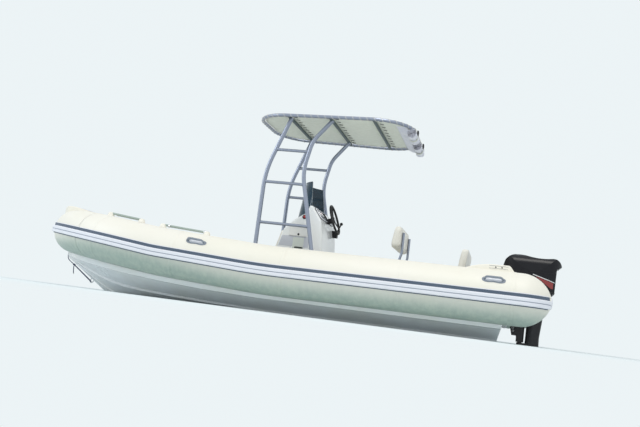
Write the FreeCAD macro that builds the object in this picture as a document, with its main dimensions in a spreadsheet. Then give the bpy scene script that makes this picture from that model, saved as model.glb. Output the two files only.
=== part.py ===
"""Rigid inflatable boat with a bimini frame and an outboard, in millimetres.

X runs forward, Y to port, Z up. The origin is on the centreline at the still waterline, amidships.
"""
import FreeCAD, Part
import math
import os
import re

import Sketcher

V = FreeCAD.Vector
AHEAD, PORT, UP = V(1, 0, 0), V(0, 1, 0), V(0, 0, 1)
ORIGIN = V(0, 0, 0)

# Driving dimensions: alias, value in millimetres or degrees, what it sizes
DIMENSIONS = (
    ("tube_radius", 285, "inflated collar"),
    ("tube_side", 940, "centreline to the collar's centre, where it runs straight"),
    ("tube_height", 468, "waterline to the collar's centre, aft"),
    ("tube_aft", -2880, "where the aft cones start"),
    ("cone_length", 315, "aft cone"),
    ("cone_tip", 60, "radius left at the tip of the aft cone"),
    ("sheer_start", -300, "where the collar starts to rise"),
    ("sheer_radius", 9000, "first bend of the sheer"),
    ("sheer_angle", 3.2, "first rise of the sheer"),
    ("bow_rise_start", 1180, "where the collar rises again"),
    ("bow_rise_radius", 3000, "second bend of the sheer"),
    ("bow_rise_angle", 3.3, "second rise of the sheer"),
    ("turn_start", 1390, "where the collar turns in"),
    ("turn_radius", 1800, "collar's turn in, in plan"),
    ("nose_straight", 136, "collar between its turn in and the nose"),
    ("nose_radius", 300, "collar's centreline round the nose"),
    ("bow_joint_angle", 28, "part of the turn aft of the bow tube's seam"),
    ("strake_height", 86, "double rubbing strake"),
    ("strake_proud", 24, "strake beyond the tube"),
    ("strake_drop", 26, "strake's centre below the tube's centre"),
    ("stripe_height", 34, "dark side stripe"),
    ("stripe_proud", 5, "stripe beyond the tube"),
    ("keel_depth", 286, "keel below the waterline"),
    ("keel_turn_x", 1650, "where the keel starts to rise"),
    ("keel_turn_radius", 1100, "forefoot"),
    ("stem_angle", 32.5, "slope of the stem"),
    ("stem_top_x", 3000, "foremost hull section"),
    ("hull_aft", -2900, "aftmost hull section, before the transom is cut"),
    ("chine_aft_z", 134, "chine height aft"),
    ("chine_bow_z", 405, "chine height at the stem"),
    ("chine_rise_x", -300, "where the chine starts to rise"),
    ("chine_gap", 85, "chine inboard of the flange"),
    ("flange_rise", 50, "flange above the chine"),
    ("spray_ledge", 42, "width of a spray rail"),
    ("transom_x", -2770, "transom's aft face at the top of the notch"),
    ("transom_top", 380, "bottom of the engine notch"),
    ("transom_rake", 14, "transom from upright"),
    ("transom_board", 52, "thickness of the board"),
    ("transom_wing_top", 560, "top of the board beside the notch"),
    ("notch_half", 270, "half the engine notch"),
    ("sole_z", 120, "cockpit sole"),
    ("sole_board", 12, "sole panel"),
    ("well_z", 280, "floor of the engine well"),
    ("cockpit_half", 690, "half the engine well"),
    ("collar_seat", 35, "hull's inner wall inside the collar's outline"),
    ("cockpit_aft", -2270, "aft end of the cockpit"),
    ("cockpit_fore", 2060, "fore end of the cockpit"),
    ("cockpit_narrow_x", 1180, "where the cockpit starts to narrow"),
    ("cockpit_fore_half", 455, "half the cockpit at its fore end"),
    ("sole_gap", 4, "beside the sole panel"),
    ("bulkhead_wall", 40, "between cockpit and engine well"),
    ("console_half", 400, "half the console"),
    ("console_round", 20, "console's side edges"),
    ("console_front_foot", 100, "foot of the console's front"),
    ("console_knee_x", 70, "where the console's front starts to lean back"),
    ("console_knee_z", 620, "where the console's front starts to lean back"),
    ("console_brow_x", -40, "top of the leaning front"),
    ("console_brow_z", 1030, "top of the leaning front"),
    ("dash_top_x", -362, "top of the dash"),
    ("dash_top_z", 1338, "top of the dash"),
    ("dash_low_x", -490, "foot of the dash"),
    ("dash_low_z", 1170, "foot of the dash"),
    ("seat_gap", 3, "between a lid and what it shuts on"),
    ("soft_gap", 0.3, "between a soft piece and its seat"),
    ("front_seat_fore", 560, "front seat's fore face"),
    ("front_seat_top", 520, "front seat box"),
    ("front_seat_half", 300, "half the front seat"),
    ("lid_board", 20, "lids"),
    ("cushion_thick", 95, "seat cushions"),
    ("locker_aft", 1480, "bow locker's aft face"),
    ("locker_fore", 2040, "bow locker's fore face"),
    ("locker_top", 500, "bow locker"),
    ("locker_half_aft", 600, "half the locker, aft"),
    ("locker_half_fore", 400, "half the locker, fore"),
    ("helm_seat_fore", -985, "helm seat's fore face"),
    ("helm_seat_aft", -1440, "helm seat's aft face"),
    ("helm_seat_half", 400, "half the helm seat"),
    ("helm_seat_top", 690, "helm seat box"),
    ("helm_back_fore", -1352, "helm backrest's fore face"),
    ("helm_back_thick", 125, "helm backrest"),
    ("helm_back_low", 930, "helm backrest's lower edge"),
    ("helm_back_high", 1200, "helm backrest's upper edge"),
    ("bench_fore", -1690, "aft bench's fore face"),
    ("bench_aft", -2216, "aft bench's aft face"),
    ("bench_half", 600, "half the aft bench"),
    ("bench_top", 500, "aft bench box"),
    ("aft_back_fore", -2122, "foot of the aft backrest's fore face"),
    ("aft_back_thick", 92, "aft backrest"),
    ("aft_back_lean", 64, "top of the aft backrest behind its foot"),
    ("aft_back_high", 1000, "aft backrest's upper edge"),
    ("aft_back_half", 480, "half the aft backrest"),
    ("leg_side", 550, "canopy legs from the centreline"),
    ("leg_radius", 25, "canopy legs"),
    ("rung_radius", 18, "rungs, rails and cross-bars"),
    ("canopy_z", 2375, "centre of the canopy's ring"),
    ("ring_radius", 20, "canopy's ring"),
    ("canopy_fore", 455, "fore end of the ring"),
    ("canopy_aft", -1480, "aft end of the ring"),
    ("canopy_half_fore", 624, "half the ring where its sides meet its fore end"),
    ("canopy_half_aft", 772, "half the ring where its sides meet its aft end"),
    ("canopy_round", 450, "corners of the ring"),
    ("cloth_thick", 8, "canopy cloth with its hems"),
    ("lacing_gap", 12, "between cloth and ring"),
    ("shade_fore", -1270, "where the rolled shade's loose cloth starts"),
    ("shade_drop", 92, "hang of the loose cloth"),
    ("bundle_radius", 62, "rolled cloth on the aft bar"),
    ("bundle_length", 400, "rolled cloth on the aft bar"),
    ("bundle_side", 330, "middle of a roll from the centreline"),
    ("tilt_x", -2850, "tilt tube"),
    ("tilt_z", 420, "tilt tube"),
    ("tilt_radius", 16, "tilt tube"),
    ("steer_x", -2935, "steering axis"),
    ("steer_radius", 26, "steering tube"),
    ("bracket_half", 120, "outside of the clamp bracket"),
    ("bracket_plate", 20, "cheek of the clamp bracket"),
    ("side_gap", 5, "running gap beside a moving bracket"),
    ("cowl_half", 205, "half the cowl"),
    ("cowl_bottom", 610, "cowl's lower edge"),
    ("prop_z", -440, "propeller shaft"),
    ("prop_x", -3140, "aft end of the gearcase, where the propeller's hub starts"),
    ("shaft_gap", 0.4, "between the gearcase and the propeller's hub"),
    ("hub_radius", 48, "propeller's hub"),
    ("hub_length", 120, "propeller's hub"),
    ("plate_z", -245, "anti-ventilation plate"),
    ("wheel_x", -570, "steering wheel's centre"),
    ("wheel_z", 1240, "steering wheel's centre"),
    ("wheel_tilt", 20, "steering wheel's axis above level"),
    ("wheel_radius", 180, "steering wheel to the middle of its rim"),
    ("rim_radius", 14, "steering wheel's rim"),
    ("helm_gap", 0.4, "between the wheel's hub and its bezel"),
    ("step_half", 200, "half the bow step"),
    ("step_round", 230, "bow step's front in plan"),
    ("scupper_radius", 19, "drain through the transom board"),
    ("scupper_side", 470, "drain from the centreline"),
    ("scupper_rise", 30, "drain's centre above the well's floor"),
    ("rope_radius", 6, "painter"),
)

doc = FreeCAD.newDocument("rigid_inflatable")
sheet = doc.addObject("Spreadsheet::Sheet", "dims")
for row, (alias, value, note) in enumerate(DIMENSIONS, start=1):
    sheet.set(f"A{row}", note)
    sheet.set(f"B{row}", str(value))
    sheet.setAlias(f"B{row}", alias)
doc.recompute()


class Sizes:
    """Reads a driving dimension from the sheet by its alias."""

    def __getattr__(self, alias):
        return float(sheet.get(alias))


D = Sizes()
pieces = []


def bound(formula):
    """A formula on the sheet's aliases, in the form that a property's expression takes."""
    return re.sub(r"\b([a-z]+_\w+)\b", r"dims.\1", formula)


def shaped(label, shape):
    """A piece whose shape comes from sweeps, lofts or turns."""
    item = doc.addObject("Part::Feature", label)
    item.Shape = shape
    item.Label = label
    pieces.append(item)
    return item


def joined(solids):
    return solids[0].multiFuse(solids[1:]).removeSplitter() if len(solids) > 1 else solids[0]


def mirrored(shape):
    return shape.mirror(ORIGIN, PORT)


def both_sides(shape):
    return Part.makeCompound([shape, mirrored(shape)])


def block(x, y, z):
    """A box between pairs of limits along X, Y and Z."""
    return Part.makeBox(x[1] - x[0], y[1] - y[0], z[1] - z[0], V(x[0], y[0], z[0]))


def rod(start, end, radius):
    return Part.makeCylinder(radius, (end - start).Length, start, end - start)


def face_of(points):
    return Part.Face(Part.makePolygon(points + points[:1]))


def outline(spans):
    """A closed face from spans of two points (a line) or three (an arc)."""
    edges = [(Part.Arc(*span) if len(span) == 3 else Part.LineSegment(*span)).toShape() for span in spans]
    return Part.Face(Part.Wire(edges))


# Bodies made of a sketch, a pad and fillets, bound to the sheet

def new_body(label):
    body = doc.addObject("PartDesign::Body", label)
    body.Label = label
    pieces.append(body)
    return body


def new_sketch(body, name, role, offset="0"):
    plan = body.newObject("Sketcher::SketchObject", name)
    plane = next(item for item in body.Origin.OriginFeatures if item.Role == role)
    plan.AttachmentSupport = (plane, "")
    plan.MapMode = "FlatFace"
    plan.setExpression("AttachmentOffset.Base.z", bound(offset))
    return plan


def trace(plan, corners):
    """Closed straight outline: each corner's two coordinates are formulas measured from the origin."""
    count = len(corners)
    angles = [2 * math.pi * i / count for i in range(count)]
    ring = [V(math.cos(angle), math.sin(angle), 0) * 100 for angle in angles]
    first = plan.GeometryCount
    for i in range(count):
        plan.addGeometry(Part.LineSegment(ring[i], ring[(i + 1) % count]), False)
    for i in range(count):
        plan.addConstraint(Sketcher.Constraint("Coincident", first + i, 2, first + (i + 1) % count, 1))
    for i, corner in enumerate(corners):
        for kind, formula in zip(("DistanceX", "DistanceY"), corner):
            index = plan.addConstraint(Sketcher.Constraint(kind, -1, 1, first + i, 1, 10.0))
            plan.setExpression(f"Constraints[{index}]", bound(formula))


def pad(body, plan, length, symmetric=False):
    feature = body.newObject("PartDesign::Pad", plan.Name + "_pad")
    feature.Profile = plan
    feature.setExpression("Length", bound(length))
    feature.SideType = "Symmetric" if symmetric else "One side"
    return feature


def fillet(body, base, radius, chosen):
    """Rounds the edges of a feature that the test picks."""
    doc.recompute()
    names = [f"Edge{i}" for i, edge in enumerate(base.Shape.Edges, start=1) if chosen(edge)]
    feature = body.newObject("PartDesign::Fillet", f"{base.Name}_round")
    feature.Base = (base, names)
    feature.setExpression("Radius", bound(radius))
    return feature


def upright(edge):
    return abs(edge.tangentAt(edge.FirstParameter).z) > 0.99


def athwart(edge):
    return abs(edge.tangentAt(edge.FirstParameter).y) > 0.99


def every(edge):
    return True


def cushion(label, x, half, bottom, top, radius="26"):
    """A soft block between formulas for its ends, sides, bottom and top, rounded all over."""
    body = new_body(label)
    plan = new_sketch(body, label + "_plan", "XY_Plane", bottom)
    trace(plan, [(x[0], f"-({half})"), (x[1], f"-({half})"), (x[1], half), (x[0], half)])
    solid = pad(body, plan, f"({top}) - ({bottom})")
    fillet(body, solid, radius, every)
    return body


def bench_box(label, x, half, top, radius="30"):
    """A moulded seat box that stands on the sole, its upright corners rounded."""
    body = new_body(label)
    plan = new_sketch(body, label + "_plan", "XY_Plane", "sole_z + sole_board")
    trace(plan, [(x[0], f"-({half})"), (x[1], f"-({half})"), (x[1], half), (x[0], half)])
    solid = pad(body, plan, f"{top} - sole_z - sole_board")
    fillet(body, solid, radius, upright)
    return body


# Walks a flat section along straights and tangent bends

def walk(section, at, ahead, up, moves):
    """Moves are (kind, amount, angle): straight takes a length, turn and rise a radius and degrees.

    A turn goes to starboard for a heading forward, a rise goes up. Returns the solids and the last frame.
    """
    solids = []
    for kind, amount, angle in moves:
        side = ahead.cross(up)
        if kind == "straight":
            solids.append(section.extrude(ahead * amount))
            section = section.translated(ahead * amount)
            at = at + ahead * amount
            continue
        centre = at + (side if kind == "turn" else up) * amount
        axis = up * -1 if kind == "turn" else side
        swing = math.copysign(angle, amount)
        solids.append(section.revolve(centre, axis, swing))
        section = section.rotated(centre, axis, swing)
        rotation = FreeCAD.Rotation(axis, swing)
        at = centre + rotation.multVec(at - centre)
        ahead, up = rotation.multVec(ahead), rotation.multVec(up)
    return solids, section, (at, ahead, up)


def pipe(points, bends, radius):
    """A round tube along straight runs with a tangent bend of the given radius at each inner point."""
    solids = []
    start = points[0]
    for i, bend in enumerate(bends, start=1):
        before, corner, after = points[i - 1], points[i], points[i + 1]
        come, go = (corner - before).normalize(), (after - corner).normalize()
        turn = come.getAngle(go)
        back = bend * math.tan(turn / 2)
        end = corner - come * back
        inward = (go - come * come.dot(go)).normalize()
        disc = Part.Face(Part.Wire(Part.makeCircle(radius, end, come)))
        elbow = disc.revolve(end + inward * bend, come.cross(go), math.degrees(turn))
        solids += [rod(start, end, radius), elbow]
        start = corner + go * back
    solids.append(rod(start, points[-1], radius))
    return joined(solids)


def ring_pipe(points, bends, radius):
    """A closed round tube: the same, through every corner."""
    middle = (points[0] + points[-1]) * 0.5
    return pipe([middle] + points + [middle], bends, radius)


# Collar, strake and stripe

# The turn in, the short straight and the nose together cross the half beam, which gives the turn's angle
turn_reach = math.hypot(D.turn_radius - D.nose_radius, D.nose_straight)
slope = math.atan2(D.turn_radius - D.nose_radius, D.nose_straight) + math.asin(
    (D.tube_side - D.turn_radius) / turn_reach)
turn_angle = math.degrees(slope)
first_rise = math.radians(D.sheer_angle)
second_rise = math.radians(D.bow_rise_angle)
rise_one_end = D.sheer_start + D.sheer_radius * math.sin(first_rise)
total_rise = first_rise + second_rise
rise_two_end = D.bow_rise_start + D.bow_rise_radius * (math.sin(total_rise) - math.sin(first_rise))

SIDE_MOVES = (
    ("straight", D.sheer_start - D.tube_aft, 0),
    ("rise", D.sheer_radius, D.sheer_angle),
    ("straight", (D.bow_rise_start - rise_one_end) / math.cos(first_rise), 0),
    ("rise", D.bow_rise_radius, D.bow_rise_angle),
    ("straight", (D.turn_start - rise_two_end) / math.cos(total_rise), 0),
    ("turn", D.turn_radius, D.bow_joint_angle),
)
BOW_MOVES = (
    ("turn", D.turn_radius, turn_angle - D.bow_joint_angle),
    ("straight", D.nose_straight, 0),
    ("turn", D.nose_radius, 90 - turn_angle),
)
aft_centre = V(D.tube_aft, D.tube_side, D.tube_height)
tube_disc = Part.Face(Part.Wire(Part.makeCircle(D.tube_radius, aft_centre, AHEAD)))

# The aft cone is turned from an arc that leaves the tube tangentially
cone_drop = D.tube_radius - D.cone_tip
cone_arc_radius = (D.cone_length ** 2 + cone_drop ** 2) / (2 * cone_drop)
cone_angle = math.asin(D.cone_length / cone_arc_radius)


def cone_point(angle):
    return aft_centre + V(-cone_arc_radius * math.sin(angle), 0,
                          D.tube_radius - cone_arc_radius * (1 - math.cos(angle)))


cone_edges = [
    Part.LineSegment(aft_centre, cone_point(0)).toShape(),
    Part.Arc(cone_point(0), cone_point(cone_angle / 2), cone_point(cone_angle)).toShape(),
    Part.LineSegment(cone_point(cone_angle), aft_centre - AHEAD * D.cone_length).toShape(),
    Part.LineSegment(aft_centre - AHEAD * D.cone_length, aft_centre).toShape(),
]
cone = Part.Face(Part.Wire(cone_edges)).revolve(aft_centre, AHEAD, 360)

side_solids, bow_disc, bow_frame = walk(tube_disc, aft_centre, AHEAD, UP, SIDE_MOVES)
side_tube = joined([cone] + side_solids)
bow_solids, nose_disc, nose_frame = walk(bow_disc, *bow_frame, BOW_MOVES)
bow_half = joined(bow_solids)
bow_tube = bow_half.fuse(mirrored(bow_half)).removeSplitter()
shaped("collar_port", side_tube)
shaped("collar_starboard", mirrored(side_tube))
shaped("collar_bow", bow_tube)
collar = Part.makeCompound([side_tube, mirrored(side_tube), bow_tube])
nose_centre = nose_frame[0]


def collar_section(points):
    """A flat section at the aft end of the port tube, from (out, up) pairs about the tube's centre."""
    return face_of([aft_centre + PORT * out + UP * high for out, high in points])


def round_the_collar(section):
    """Carries a section from the port aft cone round the nose to the starboard one, seated on the collar."""
    half, _, _ = walk(section, aft_centre, AHEAD, UP, SIDE_MOVES + BOW_MOVES)
    tail, _, _ = walk(section, aft_centre, AHEAD * -1, UP,
                      (("turn", -(cone_arc_radius - D.tube_radius), math.degrees(cone_angle) * 0.86),))
    half = joined(half + tail)
    whole = half.fuse(mirrored(half)).removeSplitter()
    return whole.cut(collar.Solids)


def largest(shape):
    return max(shape.Solids, key=lambda solid: solid.Volume)


inside = D.tube_radius - 45
outside = D.tube_radius + D.strake_proud
strake_top = -D.strake_drop + D.strake_height / 2
strake_low = -D.strake_drop - D.strake_height / 2
strake_mid = (strake_top + strake_low) / 2
strake_bevel = 9
strake = round_the_collar(collar_section([
    (inside, strake_top), (outside - strake_bevel, strake_top), (outside, strake_top - strake_bevel),
    (outside, strake_mid + 8), (outside - strake_bevel, strake_mid), (outside, strake_mid - 8),
    (outside, strake_low + strake_bevel), (outside - strake_bevel, strake_low), (inside, strake_low)]))
shaped("rub_strake", largest(strake))
stripe_low = strake_top
stripe_out = D.tube_radius + D.stripe_proud
stripe = round_the_collar(collar_section([
    (inside, stripe_low), (stripe_out, stripe_low), (stripe_out - 1, stripe_low + D.stripe_height),
    (inside, stripe_low + D.stripe_height)]))
shaped("side_stripe", largest(stripe))


def collar_at(x):
    """The tube centre's side and height at a place along the boat, on the port side."""
    if x < D.sheer_start:
        high = D.tube_height
    elif x < rise_one_end:
        high = D.tube_height + D.sheer_radius - math.sqrt(D.sheer_radius ** 2 - (x - D.sheer_start) ** 2)
    else:
        high = D.tube_height + D.sheer_radius * (1 - math.cos(first_rise))
        high += (min(x, D.bow_rise_start) - rise_one_end) * math.tan(first_rise)
        high += max(0, x - D.bow_rise_start) * math.tan(total_rise)
    reach = min(max((x - D.turn_start) / (D.turn_radius * math.cos(total_rise)), 0), math.sin(slope))
    side = D.tube_side - D.turn_radius * (1 - math.sqrt(1 - reach ** 2))
    beyond = max(0, x - D.turn_start - D.turn_radius * math.sin(slope))
    return max(side - beyond * math.tan(slope), 60), high


# Hull

def keel_z(x):
    """Level keel, forefoot arc, straight stem."""
    stem = math.radians(D.stem_angle)
    arc_end = D.keel_turn_x + D.keel_turn_radius * math.sin(stem)
    run = min(max(x - D.keel_turn_x, 0), arc_end - D.keel_turn_x)
    rise = D.keel_turn_radius - math.sqrt(D.keel_turn_radius ** 2 - run ** 2)
    return -D.keel_depth + rise + max(0, x - arc_end) * math.tan(stem)


def chine_z(x):
    along = max(0, (x - D.chine_rise_x) / (D.stem_top_x - D.chine_rise_x))
    return D.chine_aft_z + (D.chine_bow_z - D.chine_aft_z) * along ** 2


def hull_wire(x):
    """One section of the hull: keel, two spray rails, chine, flange and a lid at the collar's centre."""
    side, top = collar_at(x)
    taper = side / D.tube_side
    flange = V(x, side + 8, chine_z(x) + D.flange_rise)
    chine = V(x, max(side - D.chine_gap * taper, 20), chine_z(x))
    keel = V(x, 0, keel_z(x))
    half = [keel]
    ledge = D.spray_ledge * taper
    for share in (0.35, 0.68):
        foot = keel + (chine - keel) * share
        back = keel + (chine - keel) * (share + ledge / chine.y)
        half += [foot, V(x, back.y, foot.z - 2), back]
    half += [chine, V(x, side - 4, chine.z + 8), flange, V(x, side, top)]
    other = [V(p.x, -p.y, p.z) for p in reversed(half[1:])]
    return Part.makePolygon(half + other + [keel])


HULL_SECTIONS = (D.hull_aft, 0, 700, 1100, D.turn_start, D.keel_turn_x,
                 1850, 2050, 2250, 2450, 2650, 2800, 2900, D.stem_top_x)
hull = Part.makeLoft([hull_wire(x) for x in HULL_SECTIONS], True, True)

rake = math.radians(D.transom_rake)
behind = Part.makeBox(1200, 3000, 2400, V(-1200, -1500, -1400))
behind.rotate(ORIGIN, PORT, -D.transom_rake)
behind.translate(V(D.transom_x, 0, D.transom_top))
hull = hull.cut(behind)

cockpit_side = D.tube_side - D.tube_radius + D.collar_seat


def cockpit_plan(end_gap, side_gap, low, high):
    """The cockpit between two heights: its sides run beside the collar, then narrow towards the bow."""
    corners = [(D.cockpit_aft + end_gap, cockpit_side - side_gap),
               (D.cockpit_narrow_x, cockpit_side - side_gap),
               (D.cockpit_fore - end_gap, D.cockpit_fore_half - side_gap)]
    points = [V(x, y, low) for x, y in corners] + [V(x, -y, low) for x, y in reversed(corners)]
    return face_of(points).extrude(UP * (high - low))


cockpit = cockpit_plan(0, 0, D.sole_z, 1400)
well_aft = D.cockpit_aft - D.bulkhead_wall
well = block((D.hull_aft - 400, well_aft), (-D.cockpit_half, D.cockpit_half), (D.well_z, 1400))
bulkhead_relief = block((well_aft, D.cockpit_aft), (-D.cockpit_half, D.cockpit_half),
                        (D.tube_height - 60, 1400))
hull = largest(hull.cut([cockpit, well, bulkhead_relief] + collar.Solids))
shaped("hull", hull)

sole = cockpit_plan(D.seat_gap, D.sole_gap, D.sole_z, D.sole_z + D.sole_board).cut(collar.Solids)
shaped("cockpit_sole", largest(sole))
floor_z = D.sole_z + D.sole_board

# Transom board with the engine notch, raked, standing on the well's floor
wing_rise = D.transom_wing_top - D.transom_top
board_points = [(-D.cockpit_half, -260), (D.cockpit_half, -260),
                (D.cockpit_half, wing_rise), (D.notch_half + 60, wing_rise),
                (D.notch_half, 0), (-D.notch_half, 0),
                (-D.notch_half - 60, wing_rise), (-D.cockpit_half, wing_rise)]
board = face_of([V(0, y, z) for y, z in board_points]).extrude(AHEAD * D.transom_board)
board.rotate(ORIGIN, PORT, -D.transom_rake)
board.translate(V(D.transom_x, 0, D.transom_top))
transom_out = V(-math.cos(rake), 0, -math.sin(rake))
transom_along = V(-math.sin(rake), 0, math.cos(rake))
scupper_drop = (D.transom_top - D.well_z - D.scupper_rise) / math.cos(rake)
scupper_seat = V(D.transom_x, D.scupper_side, D.transom_top) - transom_along * scupper_drop
scupper = rod(scupper_seat + transom_out * 60, scupper_seat - transom_out * 140, D.scupper_radius)
board = board.cut([hull] + collar.Solids).cut([scupper, mirrored(scupper)])
shaped("transom_board", largest(board))


# Bow step: a raised lip over the nose, its side profile cut to a plan with a round front

nose_tip = nose_centre.x + D.tube_radius
STEP_LIP = 57


def on_step(back, high):
    """A point on the step's side, measured back from the nose's tip and up from the nose's centre."""
    return V(nose_tip - back, -D.step_half, nose_centre.z + high)


step_profile = outline((
    (on_step(640, 60), on_step(640, 228)),
    (on_step(640, 228), on_step(440, 290), on_step(270, 322)),
    (on_step(270, 322), on_step(140, 316), on_step(STEP_LIP, 282)),
    (on_step(STEP_LIP, 282), on_step(STEP_LIP + 24, 180)),
    (on_step(STEP_LIP + 24, 180), on_step(220, 60)),
    (on_step(220, 60), on_step(640, 60))))
step_front = nose_tip - STEP_LIP + 1
round_x = step_front - D.step_round
corner_x = round_x + math.sqrt(D.step_round ** 2 - D.step_half ** 2)
step_aft = step_front - 600
step_plan = outline((
    (V(step_aft, -D.step_half, 0), V(corner_x, -D.step_half, 0)),
    (V(corner_x, -D.step_half, 0), V(step_front, 0, 0), V(corner_x, D.step_half, 0)),
    (V(corner_x, D.step_half, 0), V(step_aft, D.step_half, 0)),
    (V(step_aft, D.step_half, 0), V(step_aft, -D.step_half, 0))))
step = step_profile.extrude(PORT * 2 * D.step_half).common(step_plan.extrude(UP * 2000))
step = step.makeFillet(12, [edge for edge in step.Edges if edge.CenterOfMass.z > nose_centre.z + 190
                            and abs(edge.CenterOfMass.y) > 20])
shaped("bow_step", largest(step.cut([bow_tube, side_tube, mirrored(side_tube)])))


# Fittings on the collar

def on_collar(x, angle, lift=0):
    """A point on the port tube at a place along the boat, at an angle up from level on its outer side."""
    side, high = collar_at(x)
    radius = D.tube_radius + lift
    return V(x, side + radius * math.cos(math.radians(angle)), high + radius * math.sin(math.radians(angle)))


def handle(x_fore, x_aft, angle):
    """A moulded carry handle: two feet and a bowed grip."""
    low_fore, low_aft = on_collar(x_fore, angle, -6), on_collar(x_aft, angle, -6)
    out = V(0, math.cos(math.radians(angle)), math.sin(math.radians(angle)))
    rise = out * 46
    points = [low_fore, low_fore + rise - AHEAD * 30, low_aft + rise + AHEAD * 30, low_aft]
    return pipe(points, (24, 24), 11).cut(side_tube)


# fore end, aft end, degrees up from level
CARRY_HANDLES = ((862, 640, 38), (-2490, -2700, 36))
grips = [largest(handle(*row)) for row in CARRY_HANDLES]
shaped("carry_handles", Part.makeCompound(grips + [mirrored(grip) for grip in grips]))

# grab bars on the tube's top: fore pad, aft pad
GRAB_BARS = ((2090, 1600), (1310, 740))
pad_blocks, bars = [], []
for fore, aft in GRAB_BARS:
    for x in (fore, aft):
        seat = on_collar(x, 100, -20)
        blank = Part.makeCone(52, 30, 66, seat, V(0, -0.17, 0.98))
        blank = blank.makeFillet(16, [edge for edge in blank.Edges if edge.CenterOfMass.z > seat.z + 50
                                      and edge.Length > 150])
        pad_blocks.append(largest(blank.cut([side_tube, bow_tube])))
    start, end = on_collar(fore, 100, 36), on_collar(aft, 100, 36)
    bars.append(rod(start, end, 13).cut(pad_blocks[-2:]))
aft_pads = [largest(block((-2740, -2640), (D.tube_side - 90, D.tube_side - 10), (640, 812)).cut(side_tube))]
pad_blocks += aft_pads
shaped("grab_bar_pads", Part.makeCompound(pad_blocks + [mirrored(item) for item in pad_blocks]))
bars = [max(bar.Solids, key=lambda solid: solid.BoundBox.XLength) for bar in bars]
shaped("grab_bars", Part.makeCompound(bars + [mirrored(bar) for bar in bars]))

# Bow eye on the stem and the two eyes on the transom
eye_x = 2614
stem_slope = math.radians(D.stem_angle)
stem_out = V(math.sin(stem_slope), 0, -math.cos(stem_slope))
stem_along = V(math.cos(stem_slope), 0, math.sin(stem_slope))
eye_seat = V(eye_x, 0, keel_z(eye_x))


def eye(seat, out, along, radius=6, half=22, reach=46):
    feet = [seat - along * half - out * 12, seat + along * half - out * 12]
    points = [feet[0], feet[0] + out * (reach + 12), feet[1] + out * (reach + 12), feet[1]]
    return pipe(points, (half * 0.95, half * 0.95), radius)


bow_eye = eye(eye_seat, stem_out, stem_along).cut(hull)
shaped("bow_eye", largest(bow_eye))
stern_seat = V(D.transom_x, 430, D.transom_top) - transom_along * (D.transom_top - 200)
stern_eye = largest(eye(stern_seat, transom_out, transom_along).cut(hull))
shaped("stern_eyes", both_sides(stern_eye))

# Painter: doubled from the eye to the knot, single along the stem to the nose, with a loose tail
eye_radius, eye_reach = 6, 46
knot_x, knot_radius = 2905, 18
eye_tip = eye_seat + stem_out * (eye_reach - eye_radius - D.rope_radius - D.soft_gap)
knot = V(knot_x, 0, keel_z(knot_x)) + stem_out * (knot_radius + D.rope_radius)
lead_turn = knot + stem_along * ((D.stem_top_x + 30 - knot.x) / math.cos(stem_slope))
lead = lead_turn + V(6, 0, 140)
twin = PORT * (D.rope_radius + eye_radius + D.soft_gap)
near_knot = PORT * D.rope_radius
rope_top = pipe([knot, lead_turn, lead], (30,), D.rope_radius).cut([bow_tube, hull])
knot_ball = Part.makeSphere(knot_radius, knot)
twins = [rod(eye_tip + twin * s, knot + near_knot * s, D.rope_radius) for s in (1, -1)]
through_eye = rod(eye_tip - twin, eye_tip + twin, D.rope_radius)
painter = joined([knot_ball, rope_top, through_eye] + twins).cut([largest(bow_eye), hull])
shaped("painter", largest(painter))
tail_top = knot + V(4, 0, 1 - knot_radius)
tail = pipe([tail_top, tail_top + V(-2, 5, -50), tail_top + V(-20, 10, -104)], (130,), D.rope_radius)
shaped("painter_tail", largest(tail.cut(painter)))


# Console, front seat and lockers

def console():
    body = new_body("console_body")
    plan = new_sketch(body, "console_side", "XZ_Plane")
    trace(plan, [("console_front_foot", "sole_z + sole_board"), ("console_knee_x", "console_knee_z"),
                 ("console_brow_x", "console_brow_z"), ("-160", "1155"), ("-290", "1240"),
                 ("dash_top_x + 27", "dash_top_z + 4"), ("dash_top_x", "dash_top_z"),
                 ("dash_low_x", "dash_low_z"), ("-525", "970"), ("-600", "sole_z + sole_board")])
    solid = pad(body, plan, "2 * console_half", symmetric=True)
    edges = fillet(body, solid, "console_round",
                   lambda edge: abs(abs(edge.CenterOfMass.y) - D.console_half) < 1
                   and edge.CenterOfMass.z > D.sole_z + D.sole_board + 1)
    return body, edges


console_body, _ = console()
doc.recompute()

bench_box("front_seat_box", ("console_front_foot + seat_gap", "front_seat_fore"),
          "front_seat_half", "front_seat_top")
cushion("front_seat_lid", ("console_front_foot + 30", "front_seat_fore + 8"),
        "front_seat_half + 8", "front_seat_top + soft_gap", "front_seat_top + lid_board", "5")
cushion("front_seat_cushion", ("console_front_foot + 50", "front_seat_fore + 4"), "front_seat_half + 4",
        "front_seat_top + lid_board + soft_gap", "front_seat_top + lid_board + cushion_thick")
# Padded back on the console's sloping front
back_half, back_low, back_length, back_thick = 280, 38, 370, 62
knee = V(D.console_knee_x, -back_half, D.console_knee_z)
back_up = (V(D.console_brow_x, -back_half, D.console_brow_z) - knee).normalize()
back_out = V(back_up.z, 0, -back_up.x)
back_foot = knee + back_up * back_low + back_out * D.soft_gap
back_head = back_foot + back_up * back_length
back = face_of([back_foot, back_head, back_head + back_out * back_thick,
                back_foot + back_out * back_thick]).extrude(PORT * 2 * back_half)
back = back.makeFillet(18, back.Edges)
shaped("front_seat_back", back)

locker_points = [(D.locker_aft, D.locker_half_aft), (D.locker_fore, D.locker_half_fore)]


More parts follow.
